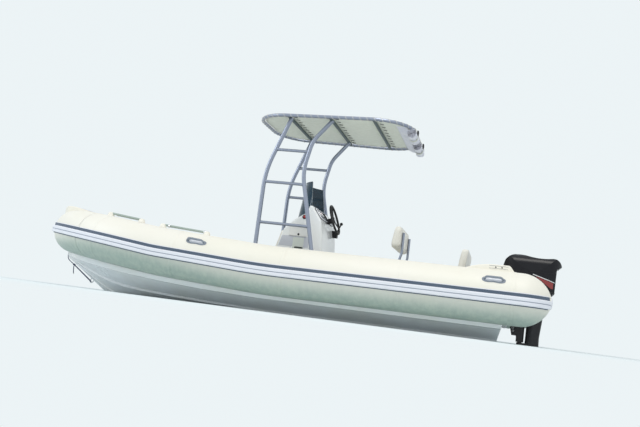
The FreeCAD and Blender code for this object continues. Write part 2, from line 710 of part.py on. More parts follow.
def tapered(label, low, high, grow, radius):
    """A block over the bow locker's tapered plan."""
    body = new_body(label)
    plan = new_sketch(body, label + "_plan", "XY_Plane", low)
    trace(plan, [(f"locker_aft - {grow}", f"-locker_half_aft - {grow}"),
                 (f"locker_fore + {grow}", f"-locker_half_fore - {grow}"),
                 (f"locker_fore + {grow}", f"locker_half_fore + {grow}"),
                 (f"locker_aft - {grow}", f"locker_half_aft + {grow}")])
    solid = pad(body, plan, f"({high}) - ({low})")
    return body, solid


locker, locker_pad = tapered("bow_locker", "sole_z + sole_board", "locker_top", "0", "20")
fillet(locker, locker_pad, "24", upright)
lid, lid_pad = tapered("bow_locker_lid", "locker_top + soft_gap", "locker_top + lid_board", "6", "6")
fillet(lid, lid_pad, "5", every)
bow_cushion, bow_cushion_pad = tapered("bow_cushion", "locker_top + lid_board + soft_gap",
                                       "locker_top + lid_board + cushion_thick", "0", "26")
fillet(bow_cushion, bow_cushion_pad, "26", every)

# Dash panel on the console's inclined face
dash_low, dash_high = V(D.dash_low_x, 0, D.dash_low_z), V(D.dash_top_x, 0, D.dash_top_z)
dash_up = (dash_high - dash_low).normalize()
dash_out = V(-dash_up.z, 0, dash_up.x)
dash_centre = (dash_low + dash_high) * 0.5
dash = Part.makeBox(680, 150, 14)
dash.translate(V(-340, -75, 0))
leaned = FreeCAD.Rotation(PORT, dash_up, dash_out, "ZXY")
dash.Placement = FreeCAD.Placement(dash_centre, leaned).multiply(dash.Placement)
wheel_axis = V(-math.cos(math.radians(D.wheel_tilt)), 0, math.sin(math.radians(D.wheel_tilt)))
wheel_centre = V(D.wheel_x, 0, D.wheel_z)
hub_back = 34
bezel = rod(wheel_centre - wheel_axis * (hub_back + D.helm_gap), wheel_centre - wheel_axis * 160, 34)
dash = largest(dash.fuse(bezel.cut(console_body.Shape)).removeSplitter())
shaped("dash_panel", dash)


# Windscreen: a tapered curved sheet round the console's fore top

def screen_plan(z, half, aft, front, inset):
    """A D-shaped section: an arc round the front, closed across the back."""
    chord_x = aft - inset * 4
    ends = (V(chord_x, half - inset, z), V(chord_x, inset - half, z))
    return Part.Wire([Part.Arc(ends[0], V(front - inset, 0, z), ends[1]).toShape(),
                      Part.LineSegment(ends[1], ends[0]).toShape()])


screen_wall = 7
outer = Part.makeLoft([screen_plan(1040, 392, -385, -85, 0),
                       screen_plan(1650, 300, -300, -160, 0)], True, True)
inner = Part.makeLoft([screen_plan(1030, 393.5, -386, -84, screen_wall),
                       screen_plan(1660, 298.5, -299, -161, screen_wall)], True, True)
screen = outer.cut([inner, console_body.Shape])
shaped("windscreen", largest(screen))

# Side lights let into the console's shoulders
for label, side in (("side_light_red", 1), ("side_light_green", -1)):
    light = Part.makeSphere(20, V(-282, side * (D.console_half - 4), 1192))
    shaped(label, largest(light.cut(console_body.Shape)))

# Hatch in the console's port side
hatch_x, hatch_z = (-340, -120), (950, 1075)
console_skin = D.console_half
hatch = block(hatch_x, (console_skin + 0.5, console_skin + 14), hatch_z)
hatch = hatch.makeFillet(5, [edge for edge in hatch.Edges
                             if edge.CenterOfMass.y > console_skin + 10 or athwart(edge)])
shaped("console_hatch", hatch)

# Helm seat
bench_box("helm_seat_base", ("helm_seat_aft", "helm_seat_fore"), "helm_seat_half", "helm_seat_top", "40")
cushion("helm_seat_cushion", ("helm_seat_aft + 5", "helm_seat_fore + 5"), "helm_seat_half - 5",
        "helm_seat_top + soft_gap", "helm_seat_top + 110")
cushion("helm_backrest", ("helm_back_fore - helm_back_thick", "helm_back_fore"), "helm_seat_half + 10",
        "helm_back_low", "helm_back_high", "50")
# Two bent tubes on the seat's aft face carry the backrest
stay_radius = 15
stay_low_x = D.helm_seat_aft - stay_radius
stay_high_x = D.helm_back_fore - D.helm_back_thick - stay_radius - D.soft_gap
stay = pipe([V(stay_low_x, 300, 560), V(stay_low_x, 300, 740),
             V(stay_high_x, 300, 880), V(stay_high_x, 300, 1130)], (160, 160), stay_radius)
shaped("helm_backrest_stays", both_sides(stay))

# Aft bench
bench_box("aft_bench_base", ("bench_aft", "bench_fore"), "bench_half", "bench_top")
cushion("aft_bench_lid", ("aft_back_fore + 6", "bench_fore + 6"), "bench_half + 6", "bench_top + soft_gap",
        "bench_top + lid_board", "5")
cushion("aft_bench_cushion", ("aft_back_fore + 10", "bench_fore + 2"), "bench_half",
        "bench_top + lid_board + soft_gap", "bench_top + lid_board + cushion_thick")
aft_backrest = new_body("aft_backrest")
backrest_side = new_sketch(aft_backrest, "aft_backrest_side", "XZ_Plane")
trace(backrest_side, [("aft_back_fore - aft_back_thick", "bench_top + soft_gap"),
                      ("aft_back_fore", "bench_top + soft_gap"),
                      ("aft_back_fore - aft_back_lean", "aft_back_high"),
                      ("aft_back_fore - aft_back_lean - aft_back_thick", "aft_back_high")])
fillet(aft_backrest, pad(aft_backrest, backrest_side, "2 * aft_back_half", symmetric=True), "34", every)

# Canopy frame
front_leg = [V(243, D.leg_side, floor_z), V(243, D.leg_side, 1690), V(0, D.leg_side, D.canopy_z)]
leg_foot = V(-620, D.leg_side, floor_z)
aft_leg = [leg_foot, V(-225, D.leg_side, 1720), V(-300, D.leg_side, 2100), V(-515, D.leg_side, D.canopy_z)]
aft_leg[0] = leg_foot + (leg_foot - aft_leg[1]).normalize() * 40
ring_points = [V(D.canopy_aft, D.canopy_half_aft, D.canopy_z),
               V(D.canopy_fore, D.canopy_half_fore, D.canopy_z),
               V(D.canopy_fore, -D.canopy_half_fore, D.canopy_z),
               V(D.canopy_aft, -D.canopy_half_aft, D.canopy_z)]
ring = ring_pipe(ring_points, (D.canopy_round,) * 4, D.ring_radius)
shaped("canopy_ring", ring)
bar_xs = (22, -505, -1040)
cross_bars = []
for x in bar_xs:
    blank = rod(V(x, -1000, D.canopy_z), V(x, 1000, D.canopy_z), D.rung_radius)
    cross_bars.append(max(blank.cut(ring).Solids, key=lambda solid: -abs(solid.CenterOfMass.y)))
shaped("canopy_cross_bars", Part.makeCompound(cross_bars))

legs = {"front": pipe(front_leg, (1200,), D.leg_radius), "aft": pipe(aft_leg, (700, 350), D.leg_radius)}
below_floor = block((-900, 500), (0, 900), (0, floor_z))
for name, leg in legs.items():
    legs[name] = largest(leg.cut([ring, below_floor] + cross_bars))
for name, leg in legs.items():
    shaped(f"leg_port_{name}", leg)
    shaped(f"leg_starboard_{name}", mirrored(leg))
feet = [Part.makeCylinder(55, 8, V(x, D.leg_side, floor_z)).cut(legs["front"]).cut(legs["aft"])
        for x in (front_leg[0].x, leg_foot.x)]
feet = [largest(foot) for foot in feet]
shaped("leg_feet", Part.makeCompound(feet + [mirrored(foot) for foot in feet]))
# rungs between the legs: height, fore end, aft end
RUNGS = ((1966, 200, -330), (1560, 260, -300), (1060, 260, -430))
rungs = []
for high, fore, aft in RUNGS:
    bar = rod(V(fore, D.leg_side, high), V(aft, D.leg_side, high), D.rung_radius).cut(list(legs.values()))
    rungs.append(max(bar.Solids, key=lambda solid: solid.BoundBox.XLength))
shaped("side_rungs", Part.makeCompound(rungs + [mirrored(rung) for rung in rungs]))


# Canopy cloth, laced inside the ring, on the cross-bars
inset = D.ring_radius + D.lacing_gap
cloth_low = D.canopy_z + D.rung_radius + D.soft_gap
cloth_corners = [V(D.canopy_aft + inset, D.canopy_half_aft - inset, cloth_low),
                 V(D.canopy_fore - inset, D.canopy_half_fore - inset, cloth_low),
                 V(D.canopy_fore - inset, inset - D.canopy_half_fore, cloth_low),
                 V(D.canopy_aft + inset, inset - D.canopy_half_aft, cloth_low)]
cloth = face_of(cloth_corners).extrude(UP * D.cloth_thick)
cloth = cloth.makeFillet(D.canopy_round - inset, [edge for edge in cloth.Edges if upright(edge)])
shaped("canopy_cloth", cloth)

# Rolled shade strapped under the aft bar in two bundles, and its loose cloth that hangs in front of them
roll_z = D.canopy_z - D.ring_radius - D.bundle_radius - D.soft_gap
rolls = []
for centre in (-D.bundle_side, D.bundle_side):
    start = V(D.canopy_aft, centre - D.bundle_length / 2, roll_z)
    roll = Part.makeCylinder(D.bundle_radius, D.bundle_length, start, PORT)
    rolls.append(roll.makeFillet(26, roll.Edges))
shaped("rolled_shades", Part.makeCompound(rolls))
hang_top = cloth_low - D.soft_gap
hang_aft = D.canopy_aft + D.bundle_radius + D.soft_gap
hang_half = 560


def hanging(lift):
    """The loose cloth's arc in side view, at a distance inside its outer face."""
    high = V(D.shade_fore - lift, -hang_half, hang_top)
    low = V(hang_aft, -hang_half, hang_top - D.shade_drop + lift)
    middle = V((high.x + low.x) / 2 + 13, -hang_half, (high.z + low.z) / 2 - 20)
    return high, middle, low


outer, inner = hanging(0), hanging(D.cloth_thick)
hang = Part.Face(Part.Wire([edge.toShape() for edge in (
    Part.Arc(*outer), Part.LineSegment(outer[2], inner[2]), Part.Arc(*reversed(inner)),
    Part.LineSegment(inner[0], outer[0]))]))
shaped("canopy_aft_cloth", hang.extrude(PORT * (hang_half + 450)))

# Steering wheel and throttle
rim = Part.makeTorus(D.wheel_radius, D.rim_radius, wheel_centre, wheel_axis)
hub = Part.makeCylinder(38, 36, wheel_centre - wheel_axis * hub_back, wheel_axis)
hub = hub.makeFillet(8, hub.Edges)
wheel_up = PORT.cross(wheel_axis)
spokes = []
for turn in (90, 210, 330):
    way = PORT * math.cos(math.radians(turn)) + wheel_up * math.sin(math.radians(turn))
    spokes.append(rod(wheel_centre - wheel_axis * 16 + way * 20, wheel_centre + way * D.wheel_radius, 9))
shaped("steering_wheel", joined([rim, hub] + spokes))

throttle = block((-570, -470), (-300, -230), (1040, 1130))
throttle = throttle.makeFillet(10, [edge for edge in throttle.Edges if edge.CenterOfMass.x < -480])
lever = rod(V(-560, -265, 1120), V(-600, -265, 1220), 9)
knob = Part.makeSphere(20, V(-603, -265, 1228))
shaped("throttle_control", largest(joined([throttle, lever, knob]).cut(console_body.Shape)))

# Outboard: clamp bracket
tilt_centre = V(D.tilt_x, 0, D.tilt_z)
cheek_points = [V(-2890, 0, 100), V(-2838, 0, 100), V(-2780, 0, 330), V(-2780 + 4, 0, 392),
                V(-2700, 0, 392), V(-2690, 0, 330), V(-2672, 0, 330), V(-2660, 0, 410),
                V(-2700, 0, 432), V(-2800, 0, 450), V(-2850, 0, 455), V(-2885, 0, 430)]
cheek = face_of(cheek_points).extrude(PORT * D.bracket_plate)
cheek_inner = D.bracket_half - D.bracket_plate
cheeks = []
for low in (cheek_inner, -D.bracket_half):
    item = cheek.translated(PORT * low).cut([hull, board])
    cheeks.append(largest(item))
tilt_tube = rod(V(D.tilt_x, -D.bracket_half - 24, D.tilt_z),
                V(D.tilt_x, D.bracket_half + 24, D.tilt_z), D.tilt_radius)
shaped("clamp_bracket", joined(cheeks + [tilt_tube]))

# Swivel bracket: hangs on the tilt tube between the cheeks, carries the steering tube
swivel_half = cheek_inner - D.side_gap
steer_low, steer_high = 30, 470
swivel_plate = face_of([V(-2935, 0, steer_low), V(-2905, 0, steer_low), V(-2815, 0, D.tilt_z - 26),
                        V(-2815, 0, D.tilt_z + 30), V(-2860, 0, D.tilt_z + 42),
                        V(-2935, 0, steer_high)])
swivel = swivel_plate.extrude(PORT * 2 * swivel_half).translated(PORT * -swivel_half)
steer_boss = rod(V(D.steer_x, 0, steer_low), V(D.steer_x, 0, steer_high), 44)
tilt_bore = rod(V(D.tilt_x, -300, D.tilt_z), V(D.tilt_x, 300, D.tilt_z), D.tilt_radius + 0.5)
steer_bore = rod(V(D.steer_x, 0, steer_low - 50), V(D.steer_x, 0, steer_high + 50), D.steer_radius + 0.5)
swivel = joined([swivel, steer_boss]).cut([tilt_bore, steer_bore])
shaped("swivel_bracket", largest(swivel))

# Leg: upper pan under the cowl, two yokes on the steering tube, tapered exhaust housing
yoke_gap = 6


def leg_plan(z, fore, aft, half):
    """A leg section: round nose, straight sides, narrower round tail."""
    nose, tail = half, half * 0.6
    points = [V(fore - nose, half, z), V(fore, 0, z), V(fore - nose, -half, z),
              V(aft + tail, -tail, z), V(aft, 0, z), V(aft + tail, tail, z)]
    return Part.Wire([Part.Arc(*points[0:3]).toShape(), Part.LineSegment(points[2], points[3]).toShape(),
                      Part.Arc(*points[3:6]).toShape(), Part.LineSegment(points[5], points[0]).toShape()])


pan_top = D.cowl_bottom - D.soft_gap
pan = Part.makeLoft([leg_plan(520, -2930, -3190, 120), leg_plan(pan_top, -2700, -3262, 185)], True, True)
housing_levels = [leg_plan(522, -2995, -3190, 88), leg_plan(100, -2995, -3150, 62),
                  leg_plan(D.plate_z, -2985, -3160, 46)]
housing = Part.makeLoft(housing_levels, True, True)
steer_tube = rod(V(D.steer_x, 0, steer_low - yoke_gap - 30), V(D.steer_x, 0, 530), D.steer_radius)
low_yoke = block((-3060, -2900), (-46, 46), (steer_low - yoke_gap - 40, steer_low - yoke_gap))
high_yoke = block((-3060, -2890), (-60, 60), (steer_high + yoke_gap, 525))
leg = joined([pan, housing, steer_tube, low_yoke, high_yoke])
shaped("engine_leg", leg)

# Cowl: three outlines of arcs, from the side, from above and from ahead, and what they have in common
def in_side(x, z):
    return V(x, -400, z)


def in_plan(x, y):
    return V(x, y, D.cowl_bottom - 50)


def in_front(y, z):
    return V(-3400, y, z)


cowl_fore, cowl_aft, cowl_top, cowl_belly = -2655, -3340, 1052, 12
cowl_side = outline((
    (in_side(-2700, D.cowl_bottom), in_side(-2662, 800), in_side(-2692, 968)),
    (in_side(-2692, 968), in_side(-2790, 1036), in_side(-2930, 1032)),
    (in_side(-2930, 1032), in_side(-3080, 1011), in_side(-3215, 1022)),
    (in_side(-3215, 1022), in_side(-3298, 998), in_side(-3332, 940)),
    (in_side(-3332, 940), in_side(-3274, 900)),
    (in_side(-3274, 900), in_side(-3266, D.cowl_bottom)),
    (in_side(-3266, D.cowl_bottom), in_side(-2700, D.cowl_bottom)))).extrude(PORT * 800)
half = D.cowl_half - cowl_belly
cowl_plan = outline((
    (in_plan(-2790, half), in_plan(cowl_fore, 0), in_plan(-2790, -half)),
    (in_plan(-2790, -half), in_plan(-3000, -D.cowl_half), in_plan(-3200, -half)),
    (in_plan(-3200, -half), in_plan(cowl_aft, 0), in_plan(-3200, half)),
    (in_plan(-3200, half), in_plan(-3000, D.cowl_half), in_plan(-2790, half)))).extrude(UP * 600)
shoulder, brow = half + 4, half - 38
crown = D.cowl_half - 130
cowl_section = outline((
    (in_front(-D.cowl_half, D.cowl_bottom - 20), in_front(-D.cowl_half - 4, 780), in_front(-shoulder, 930)),
    (in_front(-shoulder, 930), in_front(-brow, 1015), in_front(-crown, cowl_top - cowl_belly)),
    (in_front(-crown, cowl_top - cowl_belly), in_front(0, cowl_top), in_front(crown, cowl_top - cowl_belly)),
    (in_front(crown, cowl_top - cowl_belly), in_front(brow, 1015), in_front(shoulder, 930)),
    (in_front(shoulder, 930), in_front(D.cowl_half + 4, 780), in_front(D.cowl_half, D.cowl_bottom - 20)),
    (in_front(D.cowl_half, D.cowl_bottom - 20),
     in_front(-D.cowl_half, D.cowl_bottom - 20)))).extrude(AHEAD * 900)
cowl = cowl_side.common(cowl_plan).common(cowl_section)
cowl = cowl.makeFillet(8, [edge for edge in cowl.Edges if edge.CenterOfMass.z > 960 and edge.Length > 60])
hollow = block((-3240, -2740), (-D.cowl_half + 50, D.cowl_half - 50), (D.cowl_bottom - 10, 930))
shaped("cowl", largest(cowl.cut(hollow)))
shaped("powerhead", block((-3230, -2750), (-D.cowl_half + 60, D.cowl_half - 60), (D.cowl_bottom, 920)))

# Gearcase: torpedo, strut, anti-ventilation plate and skeg
torpedo_nose = V(-2800, 0, D.prop_z)
torpedo_face = Part.Face(Part.Wire([
    Part.Arc(torpedo_nose, torpedo_nose + V(-50, 0, 42), torpedo_nose + V(-150, 0, 58)).toShape(),
    Part.LineSegment(torpedo_nose + V(-150, 0, 58), V(D.prop_x, 0, D.prop_z + D.hub_radius)).toShape(),
    Part.LineSegment(V(D.prop_x, 0, D.prop_z + D.hub_radius), V(D.prop_x, 0, D.prop_z)).toShape(),
    Part.LineSegment(V(D.prop_x, 0, D.prop_z), torpedo_nose).toShape()]))
torpedo = torpedo_face.revolve(torpedo_nose, AHEAD, 360)
strut_aft = D.prop_x + 14
strut = Part.makeLoft([leg_plan(D.plate_z - 1, -2960, -3130, 40), leg_plan(D.prop_z, -2900, strut_aft, 26)],
                      True, True)
skeg = face_of([V(-2930, -7, D.prop_z - 30), V(-3105, -7, D.prop_z - 30), V(-3120, -7, D.prop_z - 215),
                V(-3060, -7, D.prop_z - 215)]).extrude(PORT * 14)
plate = face_of([V(-2930, -30, D.plate_z - 10), V(-3000, -95, D.plate_z - 10), V(-3300, -110, D.plate_z - 10),
                 V(-3330, 0, D.plate_z - 10), V(-3300, 110, D.plate_z - 10), V(-3000, 95, D.plate_z - 10),
                 V(-2930, 30, D.plate_z - 10)]).extrude(UP * 10)
shaped("gearcase", largest(joined([torpedo, strut, skeg, plate])))


# Propeller: a hub with three blades lofted over their pitch
def blade_wire(radius, chord, pitch_angle, thick, rake_back):
    """A lens-shaped section of two arcs, set at its pitch on a plane square to the blade."""
    half = chord / 2
    tip = math.radians(pitch_angle)
    along = V(math.cos(tip), math.sin(tip), 0)
    across = V(-math.sin(tip), math.cos(tip), 0)
    centre = V(-rake_back, 0, radius)
    lead_edge, trail_edge = centre + along * half, centre - along * half
    return Part.Wire([Part.Arc(lead_edge, centre + across * thick, trail_edge).toShape(),
                      Part.Arc(trail_edge, centre - across * thick * 0.35, lead_edge).toShape()])


# radius, chord, degrees of pitch from the shaft, half thickness, set back
BLADE_SECTIONS = (
    (36, 86, 30, 7, 0),
    (80, 128, 52, 5, 6),
    (125, 126, 62, 3.6, 12),
    (158, 84, 67, 2.6, 18),
    (172, 34, 69, 1.8, 21),
)
blade = Part.makeLoft([blade_wire(*row) for row in BLADE_SECTIONS], True, False)
hub_tail = -D.hub_length - 14
hub_face = face_of([V(0, 0, 0), V(0, 0, D.hub_radius), V(-D.hub_length, 0, D.hub_radius + 4),
                    V(hub_tail, 0, D.hub_radius - 8), V(hub_tail, 0, 0)])
prop_hub = hub_face.revolve(ORIGIN, AHEAD, 360)
blades = []
for turn in (0, 120, 240):
    item = blade.translated(V(-D.hub_length / 2, 0, 0))
    item.rotate(ORIGIN, AHEAD, turn)
    blades.append(item)
propeller = joined([prop_hub] + blades)
propeller.translate(V(D.prop_x - D.shaft_gap, 0, D.prop_z))
shaped("propeller", largest(propeller))


def write_parts():
    """Checks every object, then writes one STEP file a piece."""
    doc.recompute()
    faults = [item.Name for item in doc.Objects if "Invalid" in item.State or "Error" in item.State]
    for item in pieces:
        if item.Shape.isNull() or not item.Shape.isValid() or not item.Shape.Solids:
            faults.append(item.Label)
    if faults:
        raise RuntimeError("not built: " + ", ".join(faults))
    os.makedirs("parts", exist_ok=True)
    for item in pieces:
        item.Shape.exportStep(os.path.join("parts", item.Label + ".step"))
        box = item.Shape.BoundBox
        print(f"{item.Label:24s} solids {len(item.Shape.Solids)} volume {item.Shape.Volume / 1e6:9.3f} dm3"
              f"  x {box.XMin:7.0f} {box.XMax:7.0f}  y {box.YMin:6.0f} {box.YMax:6.0f}"
              f"  z {box.ZMin:6.0f} {box.ZMax:6.0f}")


write_parts()
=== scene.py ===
# %% [markdown]
# A rigid inflatable boat is a stiff V hull with a fat inflated collar, and on deck a console, padded
# lockers, a tube frame with a laced canopy and an outboard. The construction comes packed, each piece
# already in its place. This notebook gives every piece its finish and makes the soft parts, so it starts by
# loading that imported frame.

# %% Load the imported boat
import math

import bmesh
import bpy
from mathutils import Matrix, Vector
from mathutils.bvhtree import BVHTree


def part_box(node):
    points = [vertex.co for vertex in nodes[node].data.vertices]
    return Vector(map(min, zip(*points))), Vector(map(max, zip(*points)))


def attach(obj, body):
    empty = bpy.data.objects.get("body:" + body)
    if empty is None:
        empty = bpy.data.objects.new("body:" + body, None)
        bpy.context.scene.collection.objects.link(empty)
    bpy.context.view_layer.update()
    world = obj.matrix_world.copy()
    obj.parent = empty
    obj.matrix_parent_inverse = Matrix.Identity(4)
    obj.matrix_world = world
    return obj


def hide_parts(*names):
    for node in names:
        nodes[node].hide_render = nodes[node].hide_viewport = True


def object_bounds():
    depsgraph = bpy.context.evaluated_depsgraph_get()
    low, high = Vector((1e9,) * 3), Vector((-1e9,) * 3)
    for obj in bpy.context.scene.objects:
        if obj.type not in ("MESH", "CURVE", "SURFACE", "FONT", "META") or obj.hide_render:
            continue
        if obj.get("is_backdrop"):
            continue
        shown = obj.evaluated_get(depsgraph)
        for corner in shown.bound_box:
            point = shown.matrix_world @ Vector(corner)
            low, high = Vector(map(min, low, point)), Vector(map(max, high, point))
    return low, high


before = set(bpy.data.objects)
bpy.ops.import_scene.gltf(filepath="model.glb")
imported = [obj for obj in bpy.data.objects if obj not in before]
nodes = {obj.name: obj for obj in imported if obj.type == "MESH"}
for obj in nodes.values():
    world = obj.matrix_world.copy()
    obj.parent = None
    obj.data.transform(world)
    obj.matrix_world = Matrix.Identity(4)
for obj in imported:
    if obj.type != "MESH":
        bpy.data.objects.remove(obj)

cad_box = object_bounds()
scene = bpy.context.scene
AHEAD, PORT, UP = Vector((1, 0, 0)), Vector((0, 1, 0)), Vector((0, 0, 1))
SIDES = (1, -1)

# %% [markdown]
# The boat is seen from her port quarter, from just above the water, with a long lens. A camera is a place,
# a point to look at and a roll. The roll is there because the boat runs with her bow up and we stand her
# level on her waterline. The lamps are aimed the same way, so the helper serves both.

# %% Camera
CAMERA_PLACE, CAMERA_AIM, CAMERA_ROLL = (-2.717, 9.480, 0.030), (-0.571, 0.817, 1.195), 7.4


def shown(name, data):
    """A new object in the scene, at the origin."""
    item = bpy.data.objects.new(name, data)
    scene.collection.objects.link(item)
    return item


def aimed(place, aim, roll=0.0):
    """The matrix that puts a thing at a place, looking at a point, and rolls it by some degrees."""
    look = (Vector(aim) - Vector(place)).to_track_quat("-Z", "Y").to_matrix().to_4x4()
    return Matrix.Translation(place) @ look @ Matrix.Rotation(math.radians(roll), 4, "Z")


view = bpy.data.cameras.new("camera")
view.sensor_width, view.lens, view.clip_end = 36.0, 43.875, 200.0
camera = shown("camera", view)
camera.matrix_world = aimed(CAMERA_PLACE, CAMERA_AIM, CAMERA_ROLL)
scene.camera = camera
scene.view_settings.view_transform = "Standard"

# %% [markdown]
# Shader maths is easier to read as sums than as wires. A Field is one output of a node, and an expression
# on Fields adds the Math nodes. A Finish is a material, and its node method adds any other node, settings
# first.

# %% Fields and finishes
class Field:
    """One output socket, so that 1 - mask * 0.5 can be written as such."""

    def __init__(self, finish, socket):
        self.finish, self.socket = finish, socket

    def maths(self, operation, *values):
        return self.finish.node("ShaderNodeMath", {"operation": operation}, *values)

    def __add__(self, other):
        return self.maths("ADD", self, other)

    def __sub__(self, other):
        return self.maths("SUBTRACT", self, other)

    def __rsub__(self, other):
        return self.maths("SUBTRACT", other, self)

    def __mul__(self, other):
        return self.maths("MULTIPLY", self, other)

    __radd__, __rmul__ = __add__, __mul__

    def __pow__(self, other):
        return self.maths("POWER", self, other)

    def least(self, other):
        return self.maths("MINIMUM", self, other)

    def wave(self):
        return self.maths("SINE", self)

    def size(self):
        return self.maths("ABSOLUTE", self)

    def between(self, low, high):
        """0 below low, 1 above high, a smooth step between them."""
        smooth = {"interpolation_type": "SMOOTHSTEP"}
        return self.finish.node("ShaderNodeMapRange", smooth, self, low, high, 0.0, 1.0)


class Finish:
    """A material with one Principled shader."""

    def __init__(self, name, colour, roughness, **sockets):
        self.material = bpy.data.materials.new(name)
        self.material.use_nodes = True
        self.nodes, self.links = self.material.node_tree.nodes, self.material.node_tree.links
        self.shader = self.nodes["Principled BSDF"]
        self.put(Base_Color=(*colour, 1.0), Roughness=roughness, **sockets)

    def feed(self, socket, value):
        if isinstance(value, Field):
            self.links.new(value.socket, socket)
        else:
            socket.default_value = value

    def put(self, **sockets):
        for name, value in sockets.items():
            self.feed(self.shader.inputs[name.replace("_", " ")], value)
        return self

    def node(self, kind, settings=None, *values, out=0, **named):
        item = self.nodes.new(kind)
        for key, value in (settings or {}).items():
            setattr(item, key, value)
        for socket, value in zip(item.inputs, values):
            self.feed(socket, value)
        for name, value in named.items():
            self.feed(item.inputs[name], value)
        return Field(self, item.outputs[out])

    def place(self):
        """Object coordinates: metres from the boat's origin."""
        return self.node("ShaderNodeTexCoord", out=3)

    def axes(self):
        split = self.nodes.new("ShaderNodeSeparateXYZ")
        self.links.new(self.place().socket, split.inputs[0])
        return [Field(self, output) for output in split.outputs]

    def stretched(self, scale):
        return self.node("ShaderNodeMapping", {"vector_type": "POINT"}, Vector=self.place(), Scale=scale)

    def noise(self, scale, detail=3.0, rough=0.5, vector=None):
        return self.node("ShaderNodeTexNoise", Vector=vector or self.place(), Scale=scale, Detail=detail,
                         Roughness=rough)

    def creases(self, scale):
        """The distance to the edges of a net of cells."""
        edges = {"feature": "DISTANCE_TO_EDGE"}
        return self.node("ShaderNodeTexVoronoi", edges, Vector=self.place(), Scale=scale)

    def blend(self, mask, first, second):
        """Colours mixed by a mask."""
        item = self.nodes.new("ShaderNodeMix")
        item.data_type = "RGBA"
        self.feed(item.inputs[0], mask)
        for socket, colour in ((item.inputs[6], first), (item.inputs[7], second)):
            self.feed(socket, colour if isinstance(colour, Field) else (*colour, 1.0))
        return Field(self, item.outputs[2])

    def relief(self, height, distance):
        """Height in 0 to 1 as a bump of that many metres."""
        return self.put(Normal=self.node("ShaderNodeBump", Strength=1.0, Distance=distance, Height=height))


def dimmed(colour, share):
    return tuple(c * share for c in colour)


# %% [markdown]
# The collar is woven polyester coated with rubber: a matt ivory skin whose weave only just shows through.
# Sun and salt leave it a little uneven. Below the rubbing strake it is painted a greyish green that is partly
# a water stain and partly painted shade on the tube's underside, with a painted reflection of the green
# water.
# Noise gives the unevenness, and the height on the boat gives the painted shade and stain. The strake's
# height rises with the sheer, and so does the painted shade and stain.

# %% Collar fabric
IVORY, AGED_IVORY, SCUFFED_IVORY = (0.88, 0.85, 0.76), (0.85, 0.82, 0.70), (0.55, 0.54, 0.48)
# The greyish greens below the strake are partly stain and partly painted shade and painted water reflection.
SHADE_AND_STAIN, PALE_SHADE_AND_STAIN = (0.25, 0.37, 0.33), (0.36, 0.47, 0.40)
SHADE_AND_STAIN_TOP, SHADE_AND_STAIN_FADE = 0.44, 0.22
SHEER_FROM, SHEER_RUN, SHEER_RISE = -0.3, 3.0, 0.26
COLLAR_THREADS = 900.0


def fabric_weave(finish, threads):
    """Over-and-under threads per metre, from two crossed waves."""
    x, y, z = finish.axes()
    warp = ((x + y * 0.35) * (threads * math.tau)).wave()
    weft = ((z + y * 0.65) * (threads * math.tau)).wave()
    return warp * weft * 0.25 + 0.5


def tube_fabric():
    finish = Finish("ivory_tube", IVORY, 0.5, Coat_Weight=0.08, Coat_Roughness=0.4)
    x, y, z = finish.axes()
    # Below a height that rises with the sheer, the tube is darkened: painted shade and water reflection, with
    # some stain.
    shade_and_stain_top = (x - SHEER_FROM).between(0.0, SHEER_RUN) * SHEER_RISE + SHADE_AND_STAIN_TOP
    shade_and_stain_mask = (shade_and_stain_top - z).between(0.0, SHADE_AND_STAIN_FADE)
    patchy = finish.noise(1.4, 4.0)
    streaks = finish.noise(6.0, 4.0, 0.6, finish.stretched((3.0, 3.0, 0.35)))
    clean = finish.blend(patchy.between(0.35, 0.75) * 0.5, IVORY, AGED_IVORY)
    shade_and_stain_colour = finish.blend(streaks.between(0.3, 0.75), SHADE_AND_STAIN, PALE_SHADE_AND_STAIN)
    scuffs = finish.noise(38.0, 5.0, 0.7).between(0.66, 0.8) * 0.25
    colour = finish.blend(shade_and_stain_mask * 0.8, clean, shade_and_stain_colour)
    finish.put(Base_Color=finish.blend(scuffs, colour, SCUFFED_IVORY), Roughness=0.42 + patchy * 0.2)
    return finish.relief(finish.noise(260.0, 2.0) * 0.6 + fabric_weave(finish, COLLAR_THREADS) * 0.4, 0.0004)


ivory = tube_fabric()

# %% [markdown]
# Gelcoat is a hard glossy resin skin. It is never quite flat in colour: it yellows a little and picks up a
# chalky bloom, so a slow noise moves both the colour and the gloss, and a clear coat carries the
# reflections.

# %% Gelcoat
def gelcoat(name, colour, warm):
    finish = Finish(name, colour, 0.3, Coat_Weight=0.5, Coat_Roughness=0.08)
    bloom = finish.noise(2.2, 5.0)
    speck = finish.noise(55.0, 4.0, 0.7).between(0.68, 0.82) * 0.2
    tint = finish.blend(bloom.between(0.3, 0.75), colour, warm)
    finish.put(Base_Color=finish.blend(speck, tint, (0.60, 0.60, 0.57)), Roughness=0.2 + bloom * 0.25)
    return finish.relief(finish.noise(9.0, 3.0), 0.0006)


white_gelcoat = gelcoat("gelcoat", (0.84, 0.86, 0.87), (0.80, 0.81, 0.78))
deck_gelcoat = gelcoat("deck_gelcoat", (0.80, 0.80, 0.78), (0.74, 0.74, 0.71))

# %% [markdown]
# Rubber, moulded plastic and paint differ in gloss and in the scale of their grain more than in colour. One
# function with a grain size, a gloss and a second colour for the worn places covers them all.

# %% Rubber, plastic and paint
def grained(name, colour, worn, roughness, grain=400.0, depth=0.0003, coat=0.0, wear=0.35, **sockets):
    finish = Finish(name, colour, roughness, Coat_Weight=coat, Coat_Roughness=0.06, **sockets)
    rubbed = finish.noise(7.0, 6.0, 0.65).between(0.5, 0.78) * wear
    dust = finish.noise(42.0, 5.0, 0.7).between(0.6, 0.85) * wear * 0.6
    finish.put(Base_Color=finish.blend((rubbed + dust).least(1.0), colour, worn),
               Roughness=roughness + rubbed * 0.2 + finish.noise(grain, 2.0) * 0.06)
    return finish.relief(finish.noise(grain, 3.0), depth)


